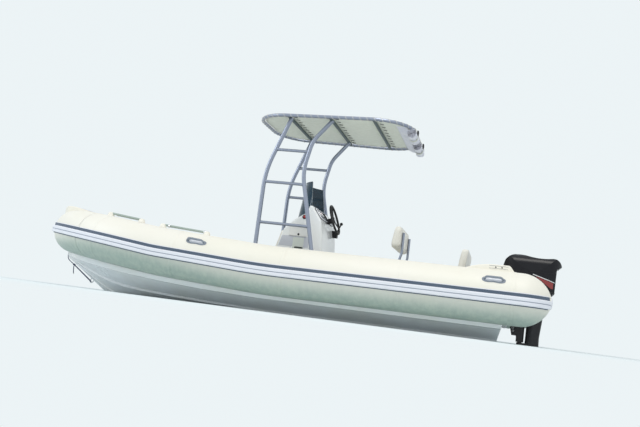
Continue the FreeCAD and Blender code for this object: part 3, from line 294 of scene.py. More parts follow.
strake_rubber = grained("strake_rubber", (0.84, 0.85, 0.90), (0.70, 0.71, 0.75), 0.42)
slate_rubber = grained("slate_rubber", (0.085, 0.115, 0.165), (0.20, 0.24, 0.29), 0.5)
grey_rubber = grained("grey_rubber", (0.26, 0.29, 0.34), (0.40, 0.43, 0.47), 0.6)
grip_rubber = grained("grip_rubber", (0.37, 0.44, 0.40), (0.50, 0.56, 0.51), 0.65)
black_rubber = grained("black_rubber", (0.02, 0.02, 0.021), (0.07, 0.07, 0.07), 0.7)
# Darker lavender grey for the strake's groove: painted shade.
groove_painted_shade = grained("groove_painted_shade", (0.36, 0.39, 0.46), (0.48, 0.51, 0.56), 0.6)
black_plastic = grained("black_plastic", (0.014, 0.014, 0.017), (0.04, 0.04, 0.045), 0.5,
                        Specular_IOR_Level=0.3)
red_plastic = grained("red_plastic", (0.55, 0.03, 0.02), (0.60, 0.12, 0.10), 0.4)
# The cross-bars' dark colour is painted shade: they lie in the canopy's shadow.
shaded_bar_dark = grained("shaded_bar_dark", (0.055, 0.085, 0.090), (0.16, 0.20, 0.20), 0.5)
# Grey for the band across the console's sides: painted shade.
band_painted_shade = grained("band_painted_shade", (0.56, 0.58, 0.63), (0.64, 0.65, 0.68), 0.4, coat=0.3)
recess_grey = grained("recess_grey", (0.66, 0.70, 0.64), (0.56, 0.58, 0.54), 0.45, coat=0.3)
gauge_white = grained("gauge_white", (0.82, 0.82, 0.80), (0.70, 0.70, 0.68), 0.25, coat=0.6)
screen_glass = grained("screen_glass", (0.010, 0.016, 0.026), (0.03, 0.04, 0.05), 0.08, coat=1.0)
thread_white = grained("thread_white", (0.72, 0.70, 0.64), (0.60, 0.58, 0.52), 0.8)
webbing = grained("webbing", (0.03, 0.03, 0.033), (0.10, 0.10, 0.10), 0.85)
engine_paint = grained("engine_paint", (0.006, 0.006, 0.009), (0.014, 0.014, 0.018), 0.36, 90.0, 0.0001, 0.12,
                       Specular_IOR_Level=0.22)
motor_paint = grained("motor_paint", (0.014, 0.014, 0.016), (0.05, 0.05, 0.05), 0.42, 200.0, 0.0002, 0.1,
                      Specular_IOR_Level=0.3)
block_paint = grained("block_paint", (0.05, 0.05, 0.055), (0.12, 0.11, 0.10), 0.6)
zinc = grained("zinc", (0.42, 0.43, 0.44), (0.60, 0.60, 0.58), 0.6, 120.0, 0.0006, Metallic=0.7)
red_paint = grained("red_paint", (0.26, 0.014, 0.012), (0.32, 0.04, 0.03), 0.28, 90.0, 0.0001, 0.7)
white_paint = grained("white_paint", (0.78, 0.78, 0.77), (0.66, 0.66, 0.65), 0.28, 90.0, 0.0001, 0.7)

# %% [markdown]
# The canopy frame is satin stainless tube. Polishing leaves fine lines along it, and salt dries on it in
# pale specks, so the roughness is stretched along the tube and the specks are less metallic than the tube.

# %% Stainless tube
def stainless(name, colour, roughness):
    finish = Finish(name, colour, roughness, Metallic=0.9)
    lines = finish.noise(70.0, 3.0, 0.6, finish.stretched((1.0, 1.0, 0.06)))
    salt = finish.noise(120.0, 5.0, 0.75).between(0.64, 0.76)
    finish.put(Base_Color=finish.blend(salt * 0.5, colour, (0.80, 0.82, 0.84)), Metallic=0.9 - salt * 0.5,
               Roughness=roughness - 0.06 + lines * 0.16 + salt * 0.25)
    return finish.relief(lines, 0.0001)


satin_tube = stainless("satin_tube", (0.31, 0.34, 0.42), 0.34)
bright_steel = stainless("bright_steel", (0.70, 0.71, 0.73), 0.2)

# %% [markdown]
# Marine vinyl has a shallow leather grain: cells about 2 mm across with creases between them, and finer
# cells inside. Voronoi cells give both, and the creases are coloured darker. The canvas is a plain weave
# with slubs.

# %% Vinyl and canvas
VINYL_CELLS, VINYL_FINE_CELLS, CANVAS_THREADS = 420.0, 1100.0, 650.0


def vinyl(name, colour, shade):
    finish = Finish(name, colour, 0.42, Coat_Weight=0.12, Coat_Roughness=0.3, Sheen_Weight=0.1)
    plump = finish.creases(VINYL_CELLS).between(0.0, 0.10)
    fine = finish.creases(VINYL_FINE_CELLS).between(0.0, 0.2)
    sat = finish.noise(3.0, 4.0).between(0.35, 0.7)
    tint = finish.blend(sat * 0.7, colour, shade)
    # The creases of the grain are coloured darker.
    finish.put(Base_Color=finish.blend(0.35 - plump * 0.35, tint, dimmed(shade, 0.7)),
               Roughness=0.5 - plump * 0.1)
    return finish.relief(plump * 0.7 + fine * 0.3, 0.00035)


def canvas(name, colour, shade):
    finish = Finish(name, colour, 0.85, Sheen_Weight=0.15)
    slub = finish.noise(18.0, 5.0, 0.65)
    weave = fabric_weave(finish, CANVAS_THREADS)
    faded = finish.blend(slub.between(0.35, 0.7) * 0.8, colour, shade)
    finish.put(Base_Color=finish.blend(weave * 0.18, faded, dimmed(shade, 0.72)))
    return finish.relief(weave * 0.6 + finish.noise(7.0, 4.0) * 0.4, 0.0012)


cream_vinyl = vinyl("cream_vinyl", (0.83, 0.81, 0.74), (0.78, 0.75, 0.66))
canopy_canvas = canvas("canopy_canvas", (0.80, 0.83, 0.74), (0.72, 0.75, 0.65))
shade_canvas = canvas("shade_canvas", (0.82, 0.83, 0.90), (0.72, 0.73, 0.83))
hem_canvas = canvas("hem_canvas", (0.74, 0.76, 0.68), (0.64, 0.66, 0.57))

# %% [markdown]
# The sole is soft foam with a brushed top and cut grooves, and the rope is a navy three-strand line. The
# windscreen is smoked acrylic, dark but clear, and the side lights are tinted lenses. Each has the one
# feature that tells it.

# %% Sole, rope, acrylic and lenses
PLANK, LENS_RIB = 0.06, 0.005


def foam_sole():
    finish = Finish("foam_sole", (0.50, 0.52, 0.53), 0.9)
    groove = 1 - (finish.axes()[1] * (math.pi / PLANK)).wave().size().between(0.0, 0.14)
    brushed = finish.noise(160.0, 4.0, 0.7, finish.stretched((0.2, 3.0, 1.0)))
    tone = finish.blend(brushed, (0.44, 0.46, 0.47), (0.56, 0.58, 0.58))
    finish.put(Base_Color=finish.blend(groove * 0.85, tone, (0.10, 0.11, 0.12)))
    return finish.relief(brushed * 0.3 - groove * 0.7, 0.002)


def smoked_acrylic():
    finish = Finish("smoked_acrylic", (0.012, 0.045, 0.075), 0.05, Specular_IOR_Level=0.25)
    haze = finish.noise(5.0, 5.0).between(0.4, 0.8)
    return finish.put(Roughness=0.05 + haze * 0.12, Alpha=0.86 + haze * 0.06)


def lens(name, colour):
    finish = Finish(name, colour, 0.12, Coat_Weight=0.8, Coat_Roughness=0.03)
    ribs = (finish.axes()[2] * (math.tau / LENS_RIB)).wave()
    return finish.put(Base_Color=finish.blend(ribs * 0.25 + 0.3, colour, dimmed(colour, 0.5)))


def rope_fibre():
    finish = Finish("rope_fibre", (0.012, 0.028, 0.11), 0.8, Sheen_Weight=0.3)
    hairs = finish.noise(420.0, 4.0, 0.7)
    finish.put(Base_Color=finish.blend(hairs.between(0.45, 0.75), (0.010, 0.022, 0.09), (0.05, 0.09, 0.22)))
    return finish.relief(hairs, 0.0008)


sole_foam, smoked, rope_navy = foam_sole(), smoked_acrylic(), rope_fibre()
red_lens, green_lens = lens("red_lens", (0.42, 0.012, 0.012)), lens("green_lens", (0.008, 0.26, 0.06))
print("finishes", len(bpy.data.materials))

# %% [markdown]
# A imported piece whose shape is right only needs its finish. The table pairs them, and the loop fills their
# slots.

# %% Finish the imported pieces
FINISHES = {
    white_gelcoat: ("hull", "console_body", "front_seat_box", "bow_locker", "helm_seat_base",
                    "aft_bench_base"),
    deck_gelcoat: ("transom_board", "front_seat_lid", "bow_locker_lid", "aft_bench_lid", "console_hatch"),
    ivory: ("collar_port", "collar_starboard", "collar_bow", "bow_step", "grab_bar_pads"),
    strake_rubber: ("rub_strake",), slate_rubber: ("side_stripe",), grey_rubber: ("carry_handles",),
    # The cross-bars are coloured dark as painted shade.
    grip_rubber: ("grab_bars",), sole_foam: ("cockpit_sole",), shaded_bar_dark: ("canopy_cross_bars",),
    bright_steel: ("bow_eye", "stern_eyes", "leg_feet"),
    satin_tube: ("canopy_ring", "leg_port_front", "leg_port_aft", "leg_starboard_front", "leg_starboard_aft",
                 "side_rungs", "helm_backrest_stays"),
    cream_vinyl: ("front_seat_cushion", "front_seat_back", "bow_cushion", "helm_seat_cushion",
                  "helm_backrest", "aft_bench_cushion", "aft_backrest"),
    canopy_canvas: ("canopy_cloth",), shade_canvas: ("canopy_aft_cloth", "rolled_shades"),
    smoked: ("windscreen",),
    black_plastic: ("dash_panel", "throttle_control"), black_rubber: ("steering_wheel",),
    engine_paint: ("cowl",), block_paint: ("powerhead",),
    motor_paint: ("clamp_bracket", "swivel_bracket", "engine_leg", "gearcase", "propeller"),
    red_lens: ("side_light_red",), green_lens: ("side_light_green",), rope_navy: ("painter", "painter_tail"),
}
for finish, names in FINISHES.items():
    for name in names:
        mesh = nodes[name].data
        mesh.materials.clear()
        mesh.materials.append(finish.material)
print("without a finish:", set(nodes) - {name for names in FINISHES.values() for name in names})

# %% [markdown]
# Most pieces are a mesh worked out from a rule. These helpers gather points and faces in a Shape, turn it
# into a piece that rides on a body, carry a section along frames, and make a round tube along points. A
# frame is a place, the way ahead, out and up.

# %% Helpers for shapes
class Shape:
    """Points and faces gathered from several parts."""

    def __init__(self, points=(), faces=()):
        self.points, self.faces = [Vector(p) for p in points], [tuple(face) for face in faces]

    def join(self, *parts):
        for part in parts:
            start = len(self.points)
            self.points += part.points
            self.faces += [tuple(start + i for i in face) for face in part.faces]
        return self

    def strip(self, rings, closed=True, caps=True, loop=False):
        """Joins rings of equal length into a skin."""
        count, length = len(rings), len(rings[0])
        faces = []
        for i in range(count if loop else count - 1):
            a, b = i * length, (i + 1) % count * length
            for j in range(length if closed else length - 1):
                k = (j + 1) % length
                faces.append((a + j, a + k, b + k, b + j))
        if caps and closed and not loop:
            faces += [tuple(reversed(range(length))), tuple(range((count - 1) * length, count * length))]
        return self.join(Shape([p for ring in rings for p in ring], faces))

    def moved(self, place):
        """The same shape with each point put somewhere else by a function."""
        return Shape([place(p) for p in self.points], self.faces)

    def mirror(self):
        """The same again on the other side of the centreline."""
        other = self.moved(lambda p: to_side(p, -1))
        return self.join(Shape(other.points, [reversed(face) for face in other.faces]))


def to_side(p, side):
    """A point or a way as it is if side is 1, and on the other side of the centreline if it is -1."""
    return Vector((p.x, side * p.y, p.z))


def mesh_of(name, shape, smooth=True):
    mesh = bpy.data.meshes.new(name)
    mesh.from_pydata([tuple(p) for p in shape.points], [], shape.faces)
    for face in mesh.polygons:
        face.use_smooth = smooth
    return mesh


def closed_object(name, shape, smooth=True):
    """A shape as an object in the scene, its faces turned outwards."""
    mesh = mesh_of(name, shape, smooth)
    work = bmesh.new()
    work.from_mesh(mesh)
    bmesh.ops.recalc_face_normals(work, faces=work.faces)
    work.to_mesh(mesh)
    work.free()
    return shown(name, mesh)


def mount(item, finish, slot, body="boat", replaces=()):
    item.data.materials.append(finish.material)
    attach(item, body)
    if replaces:
        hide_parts(*replaces)
    return item


def piece(name, shape, finish, slot, body="boat", replaces=(), smooth=True):
    return mount(closed_object(name, shape, smooth), finish, slot, body, replaces)


def crisp(item, angle=35):
    """Smooth faces with sharp edges above an angle."""
    item.data.set_sharp_from_angle(angle=math.radians(angle))
    return item


def evaluated(item):
    """What the modifiers of an object make of it, as a new mesh."""
    graph = bpy.context.evaluated_depsgraph_get()
    return bpy.data.meshes.new_from_object(item.evaluated_get(graph))


def shares(count):
    """Even shares from 0 to 1."""
    return [i / count for i in range(count + 1)]


def length_of(path):
    return sum((b - a).length for a, b in zip(path, path[1:]))


def turned_frames(points, up=UP, loop=False):
    """Frames along points that turn as little as they can."""
    last = len(points) - 1
    frames = []
    for i, p in enumerate(points):
        before = points[i - 1] if i or loop else p
        after = points[0 if i == last else i + 1] if i < last or loop else p
        ahead = (after - before).normalized()
        up = (up - ahead * up.dot(ahead)).normalized()
        frames.append((p, ahead, up.cross(ahead), up))
    return frames


def circle(radius, sides, start=0.0):
    angles = [math.tau * i / sides + start for i in range(sides)]
    return [(radius * math.cos(angle), radius * math.sin(angle)) for angle in angles]


def carried(frames, section):
    """A section of (out, up) pairs at each frame, or one worked out for each frame by a function."""
    rings = []
    for i, (p, ahead, out, up) in enumerate(frames):
        pairs = section(i) if callable(section) else section
        rings.append([p + out * a + up * b for a, b in pairs])
    return rings


def tube(points, radius, sides=12, loop=False, up=UP):
    return Shape().strip(carried(turned_frames(points, up, loop), circle(radius, sides)), loop=loop)


def rounded(points, radius, steps=6):
    """A path with each inner corner replaced by a curve that starts radius away from it."""
    path = [points[0]]
    for before, corner, after in zip(points, points[1:], points[2:]):
        start, end = (corner + (other - corner).normalized() * min(radius, (other - corner).length * 0.49)
                      for other in (before, after))
        path += [start * (1 - s) ** 2 + corner * (2 * s * (1 - s)) + end * s ** 2 for s in shares(steps)]
    return path + [points[-1]]


def around(axis, centre=Vector()):
    """A function that puts (out, across, along) numbers round an axis."""
    start = axis.orthogonal().normalized()
    side = axis.cross(start)
    return lambda a, b, high=0.0: centre + start * a + side * b + axis * high


def lathe(profile, sides, axis=UP, centre=Vector(), loop=False):
    """A turned shape from (radius, height) pairs, closed at both ends, or a ring if the profile is a loop."""
    put = around(axis, centre)
    rings = [[put(a, b, high) for a, b in circle(radius, sides)] for radius, high in profile]
    return Shape().strip(rings, loop=loop)


def ring_bead(centre, axis, radius, thick, sides=24):
    """A bead of round section laid round a circle."""
    put = around(axis, centre)
    return tube([put(a, b) for a, b in circle(radius, sides)], thick, 6, loop=True, up=axis)


def block(x, y, z):
    """A box between limits."""
    return Shape([(a, b, c) for a in x for b in y for c in z],
                 [(0, 1, 3, 2), (4, 6, 7, 5), (0, 4, 5, 1), (2, 3, 7, 6), (0, 2, 6, 4), (1, 5, 7, 3)])


# %% [markdown]
# Stitches, screws, eyelets and grip rings are one small item set many times along a line. That is what
# Geometry Nodes are for: the line is resampled, the item is put on each point, turned to the line and to
# the surface, and made real.

# %% Repeat an item along a line
def repeat_tree():
    tree = bpy.data.node_groups.new("repeat_along_line", "GeometryNodeTree")
    for kind, name, flow in (("Geometry", "Geometry", "INPUT"), ("Int", "Count", "INPUT"),
                             ("Object", "Item", "INPUT"), ("Material", "Material", "INPUT"),
                             ("Geometry", "Geometry", "OUTPUT")):
        tree.interface.new_socket(name=name, in_out=flow, socket_type="NodeSocket" + kind)

    def node(kind, settings=None, **values):
        item = tree.nodes.new(kind)
        for key, value in (settings or {}).items():
            setattr(item, key, value)
        for name, value in values.items():
            if isinstance(value, bpy.types.NodeSocket):
                tree.links.new(value, item.inputs[name])
            else:
                item.inputs[name].default_value = value
        return item

    given = node("NodeGroupInput").outputs
    line = node("GeometryNodeMeshToCurve", Mesh=given["Geometry"]).outputs[0]
    line = node("GeometryNodeResampleCurve", {"mode": "COUNT"}, Curve=line, Count=given["Count"]).outputs[0]
    vector = {"data_type": "FLOAT_VECTOR"}
    outward = node("GeometryNodeInputNamedAttribute", vector, Name="outward").outputs[0]
    along = node("GeometryNodeInputTangent").outputs[0]
    stood = node("FunctionNodeAlignRotationToVector", {"axis": "Z"}, Vector=outward).outputs[0]
    turned = node("FunctionNodeAlignRotationToVector", {"axis": "X", "pivot_axis": "Z"}, Rotation=stood,
                  Vector=along).outputs[0]
    shape = node("GeometryNodeObjectInfo", Object=given["Item"]).outputs["Geometry"]
    copies = node("GeometryNodeInstanceOnPoints", Points=line, Instance=shape, Rotation=turned).outputs[0]
    real = node("GeometryNodeRealizeInstances", Geometry=copies).outputs[0]
    dressed = node("GeometryNodeSetMaterial", Geometry=real, Material=given["Material"]).outputs[0]
    tree.links.new(dressed, node("NodeGroupOutput").inputs[0])
    return tree


REPEAT = repeat_tree()
REPEAT_INPUTS = {side.name: side.identifier for side in REPEAT.interface.items_tree if side.in_out == "INPUT"}


def repeated(name, lines, item, finish, slot, body="boat"):
    """Lines are (points, ways out, count, closed). The result is one plain mesh."""
    gathered = Shape()
    smooth = False
    for points, outs, count, closed in lines:
        mesh = bpy.data.meshes.new(name + "_line")
        edges = [(i, i + 1) for i in range(len(points) - 1)] + ([(len(points) - 1, 0)] if closed else [])
        mesh.from_pydata([tuple(p) for p in points], edges, [])
        way = mesh.attributes.new("outward", "FLOAT_VECTOR", "POINT")
        outs = outs if isinstance(outs, list) else [outs] * len(points)
        way.data.foreach_set("vector", [c for out in outs for c in out])
        holder = shown(name + "_line", mesh)
        modifier = holder.modifiers.new("repeat", "NODES")
        modifier.node_group = REPEAT
        for key, value in (("Count", count), ("Item", item), ("Material", finish.material)):
            modifier[REPEAT_INPUTS[key]] = value
        made = evaluated(holder)
        smooth = smooth or any(face.use_smooth for face in made.polygons)
        gathered.join(Shape([v.co for v in made.vertices], [face.vertices for face in made.polygons]))
        bpy.data.objects.remove(holder)
        bpy.data.meshes.remove(made)
    print(name, "copies make", len(gathered.faces), "faces")
    return piece(name, gathered, finish, slot, body, smooth=smooth)


def item_of(name, shape, smooth=True):
    """A small item to be repeated. It is a mesh with no place of its own in the scene."""
    return bpy.data.objects.new(name, mesh_of(name, shape, smooth))


SCREW_PROFILE = [(0.0045, -0.001), (0.0045, 0.0008), (0.003, 0.0022), (0.0008, 0.0024)]
STITCH_LINE = [(-0.0027, 0, -0.0004), (-0.0015, 0, 0.0006), (0.0015, 0, 0.0006), (0.0027, 0, -0.0004)]
screw_head = item_of("screw_head", lathe(SCREW_PROFILE, 8))
stitch = item_of("stitch", tube([Vector(p) for p in STITCH_LINE], 0.00055, 5))

# %% [markdown]
# The painter is a three-strand rope: doubled from the bow eye to a knot, then single along the stem to the
# nose, with a short loose tail under the knot. A line is worked out first, and three strands wind round it.
# The tail hangs free, so its line is one smooth spline. The rest is held at both ends.

# %% Painter
ROPE_RADIUS, ROPE_GAP, LAY_LENGTH, LAY_STEP, STRAND_RADIUS = 0.006, 0.0003, 0.036, 0.004, 0.0031
STEM_ANGLE = math.radians(32.5)
EYE_TIP, KNOT = Vector((2.6321, 0, 0.0955)), Vector((2.9179, 0, 0.2890))
LEAD_TURN, LEAD_END = Vector((3.0300, 0, 0.3605)), Vector((3.0350, 0, 0.4780))
KNOT_SIZE, KNOT_DEPTH, EYE_BEND, LEAD_BEND = 0.0050, 1.4, 0.012, 0.04
TAIL_ROUTE = [KNOT + Vector(step)
              for step in ((0.004, 0, -0.017), (0.002, 0.005, -0.067), (-0.016, 0.010, -0.121))]
WHIPPING = [(0.0060, -0.013), (0.0068, -0.012), (0.0068, -0.001), (0.0050, 0.001)]
stem_out = Vector((math.sin(STEM_ANGLE), 0, -math.cos(STEM_ANGLE)))
stem_along = Vector((math.cos(STEM_ANGLE), 0, math.sin(STEM_ANGLE)))


def evenly(points, step):
    """Points about a step apart along a path."""
    reach = [0.0]
    for a, b in zip(points, points[1:]):
        reach.append(reach[-1] + (b - a).length)
    result, i = [], 0
    for share in shares(max(2, round(reach[-1] / step))):
        want = reach[-1] * share
        while i < len(points) - 2 and reach[i + 1] < want:
            i += 1
        result.append(points[i].lerp(points[i + 1], (want - reach[i]) / max(reach[i + 1] - reach[i], 1e-9)))
    return result


def laid_rope(line):
    """Three strands wound round a line."""
    frames = turned_frames(evenly(line, LAY_STEP), PORT)
    shape = Shape()
    for strand in range(3):
        points = []
        for number, (p, ahead, out, up) in enumerate(frames):
            angle = math.tau * (number * LAY_STEP / LAY_LENGTH + strand / 3)
            points.append(p + (out * math.cos(angle) + up * math.sin(angle)) * STRAND_RADIUS)
        shape.join(tube(points, STRAND_RADIUS, 6))
    return shape


def knot_line(centre):
    """A trefoil: the simplest knot, drawn up tight."""
    points = []
    for share in shares(60):
        a = math.tau * share
        points.append(centre + (stem_along * (math.sin(a) + 2 * math.sin(2 * a))
                                + PORT * (math.cos(a) - 2 * math.cos(2 * a))
                                - stem_out * (KNOT_DEPTH * math.sin(3 * a))) * KNOT_SIZE)
    return points


beside, near = PORT * (2 * ROPE_RADIUS + ROPE_GAP), PORT * ROPE_RADIUS
doubled = rounded([KNOT - near, EYE_TIP - beside, EYE_TIP + beside, KNOT + near], EYE_BEND)
single = rounded([KNOT, LEAD_TURN, LEAD_END], LEAD_BEND)
painter = Shape().join(laid_rope(doubled), laid_rope(single), laid_rope(knot_line(KNOT)))
piece("painter_line", painter, rope_navy, "rope", replaces=("painter",))

curve = bpy.data.curves.new("painter_tail_line", "CURVE")
curve.dimensions = "3D"
spline = curve.splines.new("NURBS")
spline.points.add(len(TAIL_ROUTE) - 1)
for point, p in zip(spline.points, TAIL_ROUTE):
    point.co = (*p, 1.0)
spline.order_u, spline.use_endpoint_u, spline.resolution_u = 3, True, 24
holder = shown("painter_tail_line", curve)
tail_line = [vertex.co.copy() for vertex in evaluated(holder).vertices]
bpy.data.objects.remove(holder)
tail_end = lathe(WHIPPING, 12, (tail_line[-1] - tail_line[-2]).normalized(), tail_line[-1])
tail_length = length_of(tail_line)
tail = piece("painter_loose_tail", laid_rope(tail_line), rope_navy, "rope", replaces=("painter_tail",))
whipping = piece("tail_whipping", tail_end, thread_white, "rope")
tuple(tail_line[0])
[tuple(p) for p in tail_line]
print("painter's tail", round(tail_length, 3), "m; strands", len(painter.faces), "faces")

# %% [markdown]
# The collar runs along a path of straights and arcs: level aft, two gentle rises of the sheer, a long turn
# in and a tight nose. Walking that list gives a frame every few centimetres, and a ring of points at each
# frame gives the skin.

# %% Path of the collar
TUBE_RADIUS = 0.285
COLLAR_START = Vector((-2.880, 0.940, 0.468))
LEVEL_RUN, SECOND_RISE_X, TURN_X, NOSE_STRAIGHT = 2.58, 1.180, 1.390, 0.136
FIRST_RADIUS, SECOND_RADIUS, TURN_RADIUS, NOSE_RADIUS = 9.0, 3.0, 1.8, 0.3
FIRST_RISE, SECOND_RISE = 3.2, 3.3
FRAME_STEP = 0.035
first, both = math.radians(FIRST_RISE), math.radians(FIRST_RISE + SECOND_RISE)
climb = (SECOND_RISE_X - COLLAR_START.x - LEVEL_RUN - FIRST_RADIUS * math.sin(first)) / math.cos(first)
fair = (TURN_X - SECOND_RISE_X - SECOND_RADIUS * (math.sin(both) - math.sin(first))) / math.cos(both)
tighter = TURN_RADIUS - NOSE_RADIUS
nose_slope = math.degrees(math.atan2(tighter, NOSE_STRAIGHT)
                          + math.asin((COLLAR_START.y - TURN_RADIUS) / math.hypot(tighter, NOSE_STRAIGHT)))
COLLAR_MOVES = (("straight", LEVEL_RUN, 0), ("rise", FIRST_RADIUS, FIRST_RISE), ("straight", climb, 0),
                ("rise", SECOND_RADIUS, SECOND_RISE), ("straight", fair, 0),
                ("turn", TURN_RADIUS, nose_slope), ("straight", NOSE_STRAIGHT, 0),
                ("turn", NOSE_RADIUS, 90 - nose_slope))


def walk(place, moves, step):
    """Frames (place, ahead, out, up) along straights and arcs, about a step apart."""
    ahead, up = AHEAD.copy(), UP.copy()
    frames = [(place.copy(), ahead.copy(), up.cross(ahead), up.copy())]
    for kind, amount, angle in moves:
        length = amount if kind == "straight" else amount * math.radians(angle)
        count = max(1, round(length / step))
        for _ in range(count):
            if kind == "straight":
                place = place + ahead * (amount / count)
            else:
                inward = ahead.cross(up) if kind == "turn" else up
                axis = up * -1 if kind == "turn" else ahead.cross(up)
                bend = Matrix.Rotation(math.radians(angle) / count, 3, axis)
                centre = place + inward * amount
                place = centre + bend @ (place - centre)
                ahead, up = (bend @ ahead).normalized(), (bend @ up).normalized()
            frames.append((place.copy(), ahead.copy(), up.cross(ahead), up.copy()))
    return frames


collar_frames = walk(COLLAR_START, COLLAR_MOVES, FRAME_STEP)
print("collar: nose at", [round(c, 3) for c in collar_frames[-1][0]], "frames", len(collar_frames))


def collar_frame(x):
    """The collar's frame at a place along the boat, between two walked frames."""
    after = max(1, next(i for i, row in enumerate(collar_frames) if row[0].x >= x))
    a, b = collar_frames[after - 1], collar_frames[after]
    share = max(0.0, (x - a[0].x) / (b[0].x - a[0].x))
    return tuple(a[i].lerp(b[i], share) for i in range(4))


def on_collar(x, angle, lift=0.0):
    """A point on the port tube at an angle up from level, and the way out there."""
    place, ahead, out, up = collar_frame(x)
    way = out * math.cos(math.radians(angle)) + up * math.sin(math.radians(angle))
    return place + way * (TUBE_RADIUS + lift), way


# %% [markdown]
# The skin is taut, but not a perfect cylinder: air pulls it round, and the fabric puckers on the inside of
# each bend and bellies a millimetre or two between the seam tapes. The aft cones end in a moulded cap.

# %% Collar skin, cones, caps and seam tapes
SEAM_PLACES = (-2.80, -1.62, -0.30, 1.02, 2.02)
BOW_JOINT = 2.245
RING_SIDES, CONE_STEPS = 72, 12
CONE_LENGTH, CONE_TIP = 0.315, 0.060
SKIN_INSET, BELLY, PUCKER, BEND_X, BEND_REACH = 0.0012, 0.0012, 0.0022, 2.7, 0.65
TAPE_HALF, TAPE_THICK, TAPE_SINK = 0.019, 0.0016, 0.001
TAPE_SECTION = ((-TAPE_HALF, -0.002), (-TAPE_HALF, TAPE_THICK * 0.6), (-TAPE_HALF + 0.002, TAPE_THICK),
                (TAPE_HALF - 0.002, TAPE_THICK), (TAPE_HALF, TAPE_THICK * 0.6), (TAPE_HALF, -0.002))
CAP_PROFILE = [(0.052, -0.004), (0.064, -0.002), (0.067, 0.004), (0.062, 0.009), (0.056, 0.010),
               (0.050, 0.014), (0.030, 0.018), (0.004, 0.019)]
cone_drop = TUBE_RADIUS - CONE_TIP
cone_arc = (CONE_LENGTH ** 2 + cone_drop ** 2) / (2 * cone_drop)
cone_sweep = math.asin(CONE_LENGTH / cone_arc)


def taut_ring(frame_number):
    """The skin's section: round, with puckers where the collar bends and a soft belly between seams."""
    x = collar_frames[frame_number][0].x
    belly = BELLY * math.sin(x * 4.7) * math.sin(x * 1.9 + 1.0)
    bend = max(0.0, 1 - abs(x - BEND_X) / BEND_REACH)
    ring = []
    for out, up in circle(1.0, RING_SIDES):
        inner = max(0.0, -out) ** 2 * bend
        pucker = PUCKER * inner * math.sin(frame_number * 2.1 + 1.4 * math.sin(math.atan2(up, out) * 3))
        radius = TUBE_RADIUS + belly - SKIN_INSET + pucker
        ring.append((radius * out, radius * up))
    return ring


def cone_rings():
    """The aft cone, from its tip to the tube."""
    rings = []
    for i in range(CONE_STEPS, 0, -1):
        angle = cone_sweep * i / CONE_STEPS
        radius = TUBE_RADIUS - cone_arc * (1 - math.cos(angle)) - SKIN_INSET
        centre = COLLAR_START - AHEAD * (cone_arc * math.sin(angle))
        rings.append([centre + PORT * a + UP * b for a, b in circle(radius, RING_SIDES)])
    return rings


skin_rings = cone_rings() + carried(collar_frames, taut_ring)
bow_start = CONE_STEPS + next(i for i, row in enumerate(collar_frames) if row[0].x > BOW_JOINT)
side_skin = Shape().strip(skin_rings[:bow_start + 1])
bow_rings = skin_rings[bow_start:]
bow_skin = Shape().strip(bow_rings + [[to_side(p, -1) for p in ring] for ring in reversed(bow_rings[:-1])])
other_skin = side_skin.moved(lambda p: to_side(p, -1))
for side, skin in (("port", side_skin), ("starboard", other_skin), ("bow", bow_skin)):
    piece("collar_skin_" + side, skin, ivory, "ivory_tube", replaces=("collar_" + side,))

tapes = Shape()
for x in SEAM_PLACES:
    place, ahead, out, up = collar_frame(x)
    rings = []
    for along, proud in TAPE_SECTION:
        section = circle(TUBE_RADIUS + proud - TAPE_SINK, RING_SIDES)
        rings.append([place + ahead * along + out * a + up * b for a, b in section])
    tapes.strip(rings, caps=False)
piece("seam_tapes", tapes.mirror(), ivory, "ivory_tube")
caps = lathe(CAP_PROFILE, 32, AHEAD * -1, COLLAR_START - AHEAD * CONE_LENGTH * 0.995)
piece("cone_caps", caps.mirror(), strake_rubber, "strake")
print("collar skin", len(skin_rings), "rings; seams", len(SEAM_PLACES) * 2)

# %% [markdown]
# A boat cushion is foam in a vinyl cover: panels that bulge a little between sewn channels, a welted edge,
# sides that pull in, and a flat base where it rests. The cover starts as a rounded block of small squares.
# Its base, its welt and its channels are held, and the cloth solver blows up the rest, so the bulges are
# those of real cloth.

# %% Padded cushions
SQUARE, TINY = 0.018, 1e-6
CHANNEL_DEPTH, CHANNEL_REACH, PUFF = 0.007, 0.03, 0.011
WELT_RADIUS, STITCH_PITCH, STITCH_GAP, STITCH_LIFT = 0.0042, 0.009, 0.0045, 0.0012
AIR_PRESSURE, CLOTH_STEPS = 4.0, 20


def spaced(length, marks):
    """Even steps over a length that also land on the marks."""
    stops = [0.0, *sorted(marks), length]
    steps = []
    for low, high in zip(stops, stops[1:]):
        count = max(1, round((high - low) / SQUARE))
        steps += [low + (high - low) * i / count for i in range(count)]
    return steps + [length]


def padded_block(size, channels):
    """A closed block of small squares from 0 to size."""
    steps = [spaced(size[0], channels[0]), spaced(size[1], channels[1]), spaced(size[2], ())]
    index, points, faces = {}, [], []

    def corner(*where):
        if where not in index:
            index[where] = len(points)
            points.append(Vector(steps[axis][where[axis]] for axis in range(3)))
        return index[where]

    last = [len(row) - 1 for row in steps]
    for axis in range(3):
        first, second = [other for other in range(3) if other != axis]
        for end in (0, last[axis]):
            for i in range(last[first]):
                for j in range(last[second]):
                    face = []
                    for a, b in ((i, j), (i + 1, j), (i + 1, j + 1), (i, j + 1)):
                        where = [0, 0, 0]
                        where[axis], where[first], where[second] = end, a, b
                        face.append(corner(*where))
                    faces.append(face)
    return Shape(points, faces)


def rounded_point(p, size, rounding):
    """Moves a point of a sharp block to the block with its edges rounded."""
    inner = Vector(min(max(c, r), s - r) for c, s, r in zip(p, size, rounding))
    away = p - inner
    if away.length < 1e-9:
        return p.copy()
    unit = Vector(c / r for c, r in zip(away, rounding))
    return inner + Vector(c / max(unit.length, TINY) * r for c, r in zip(unit, rounding))


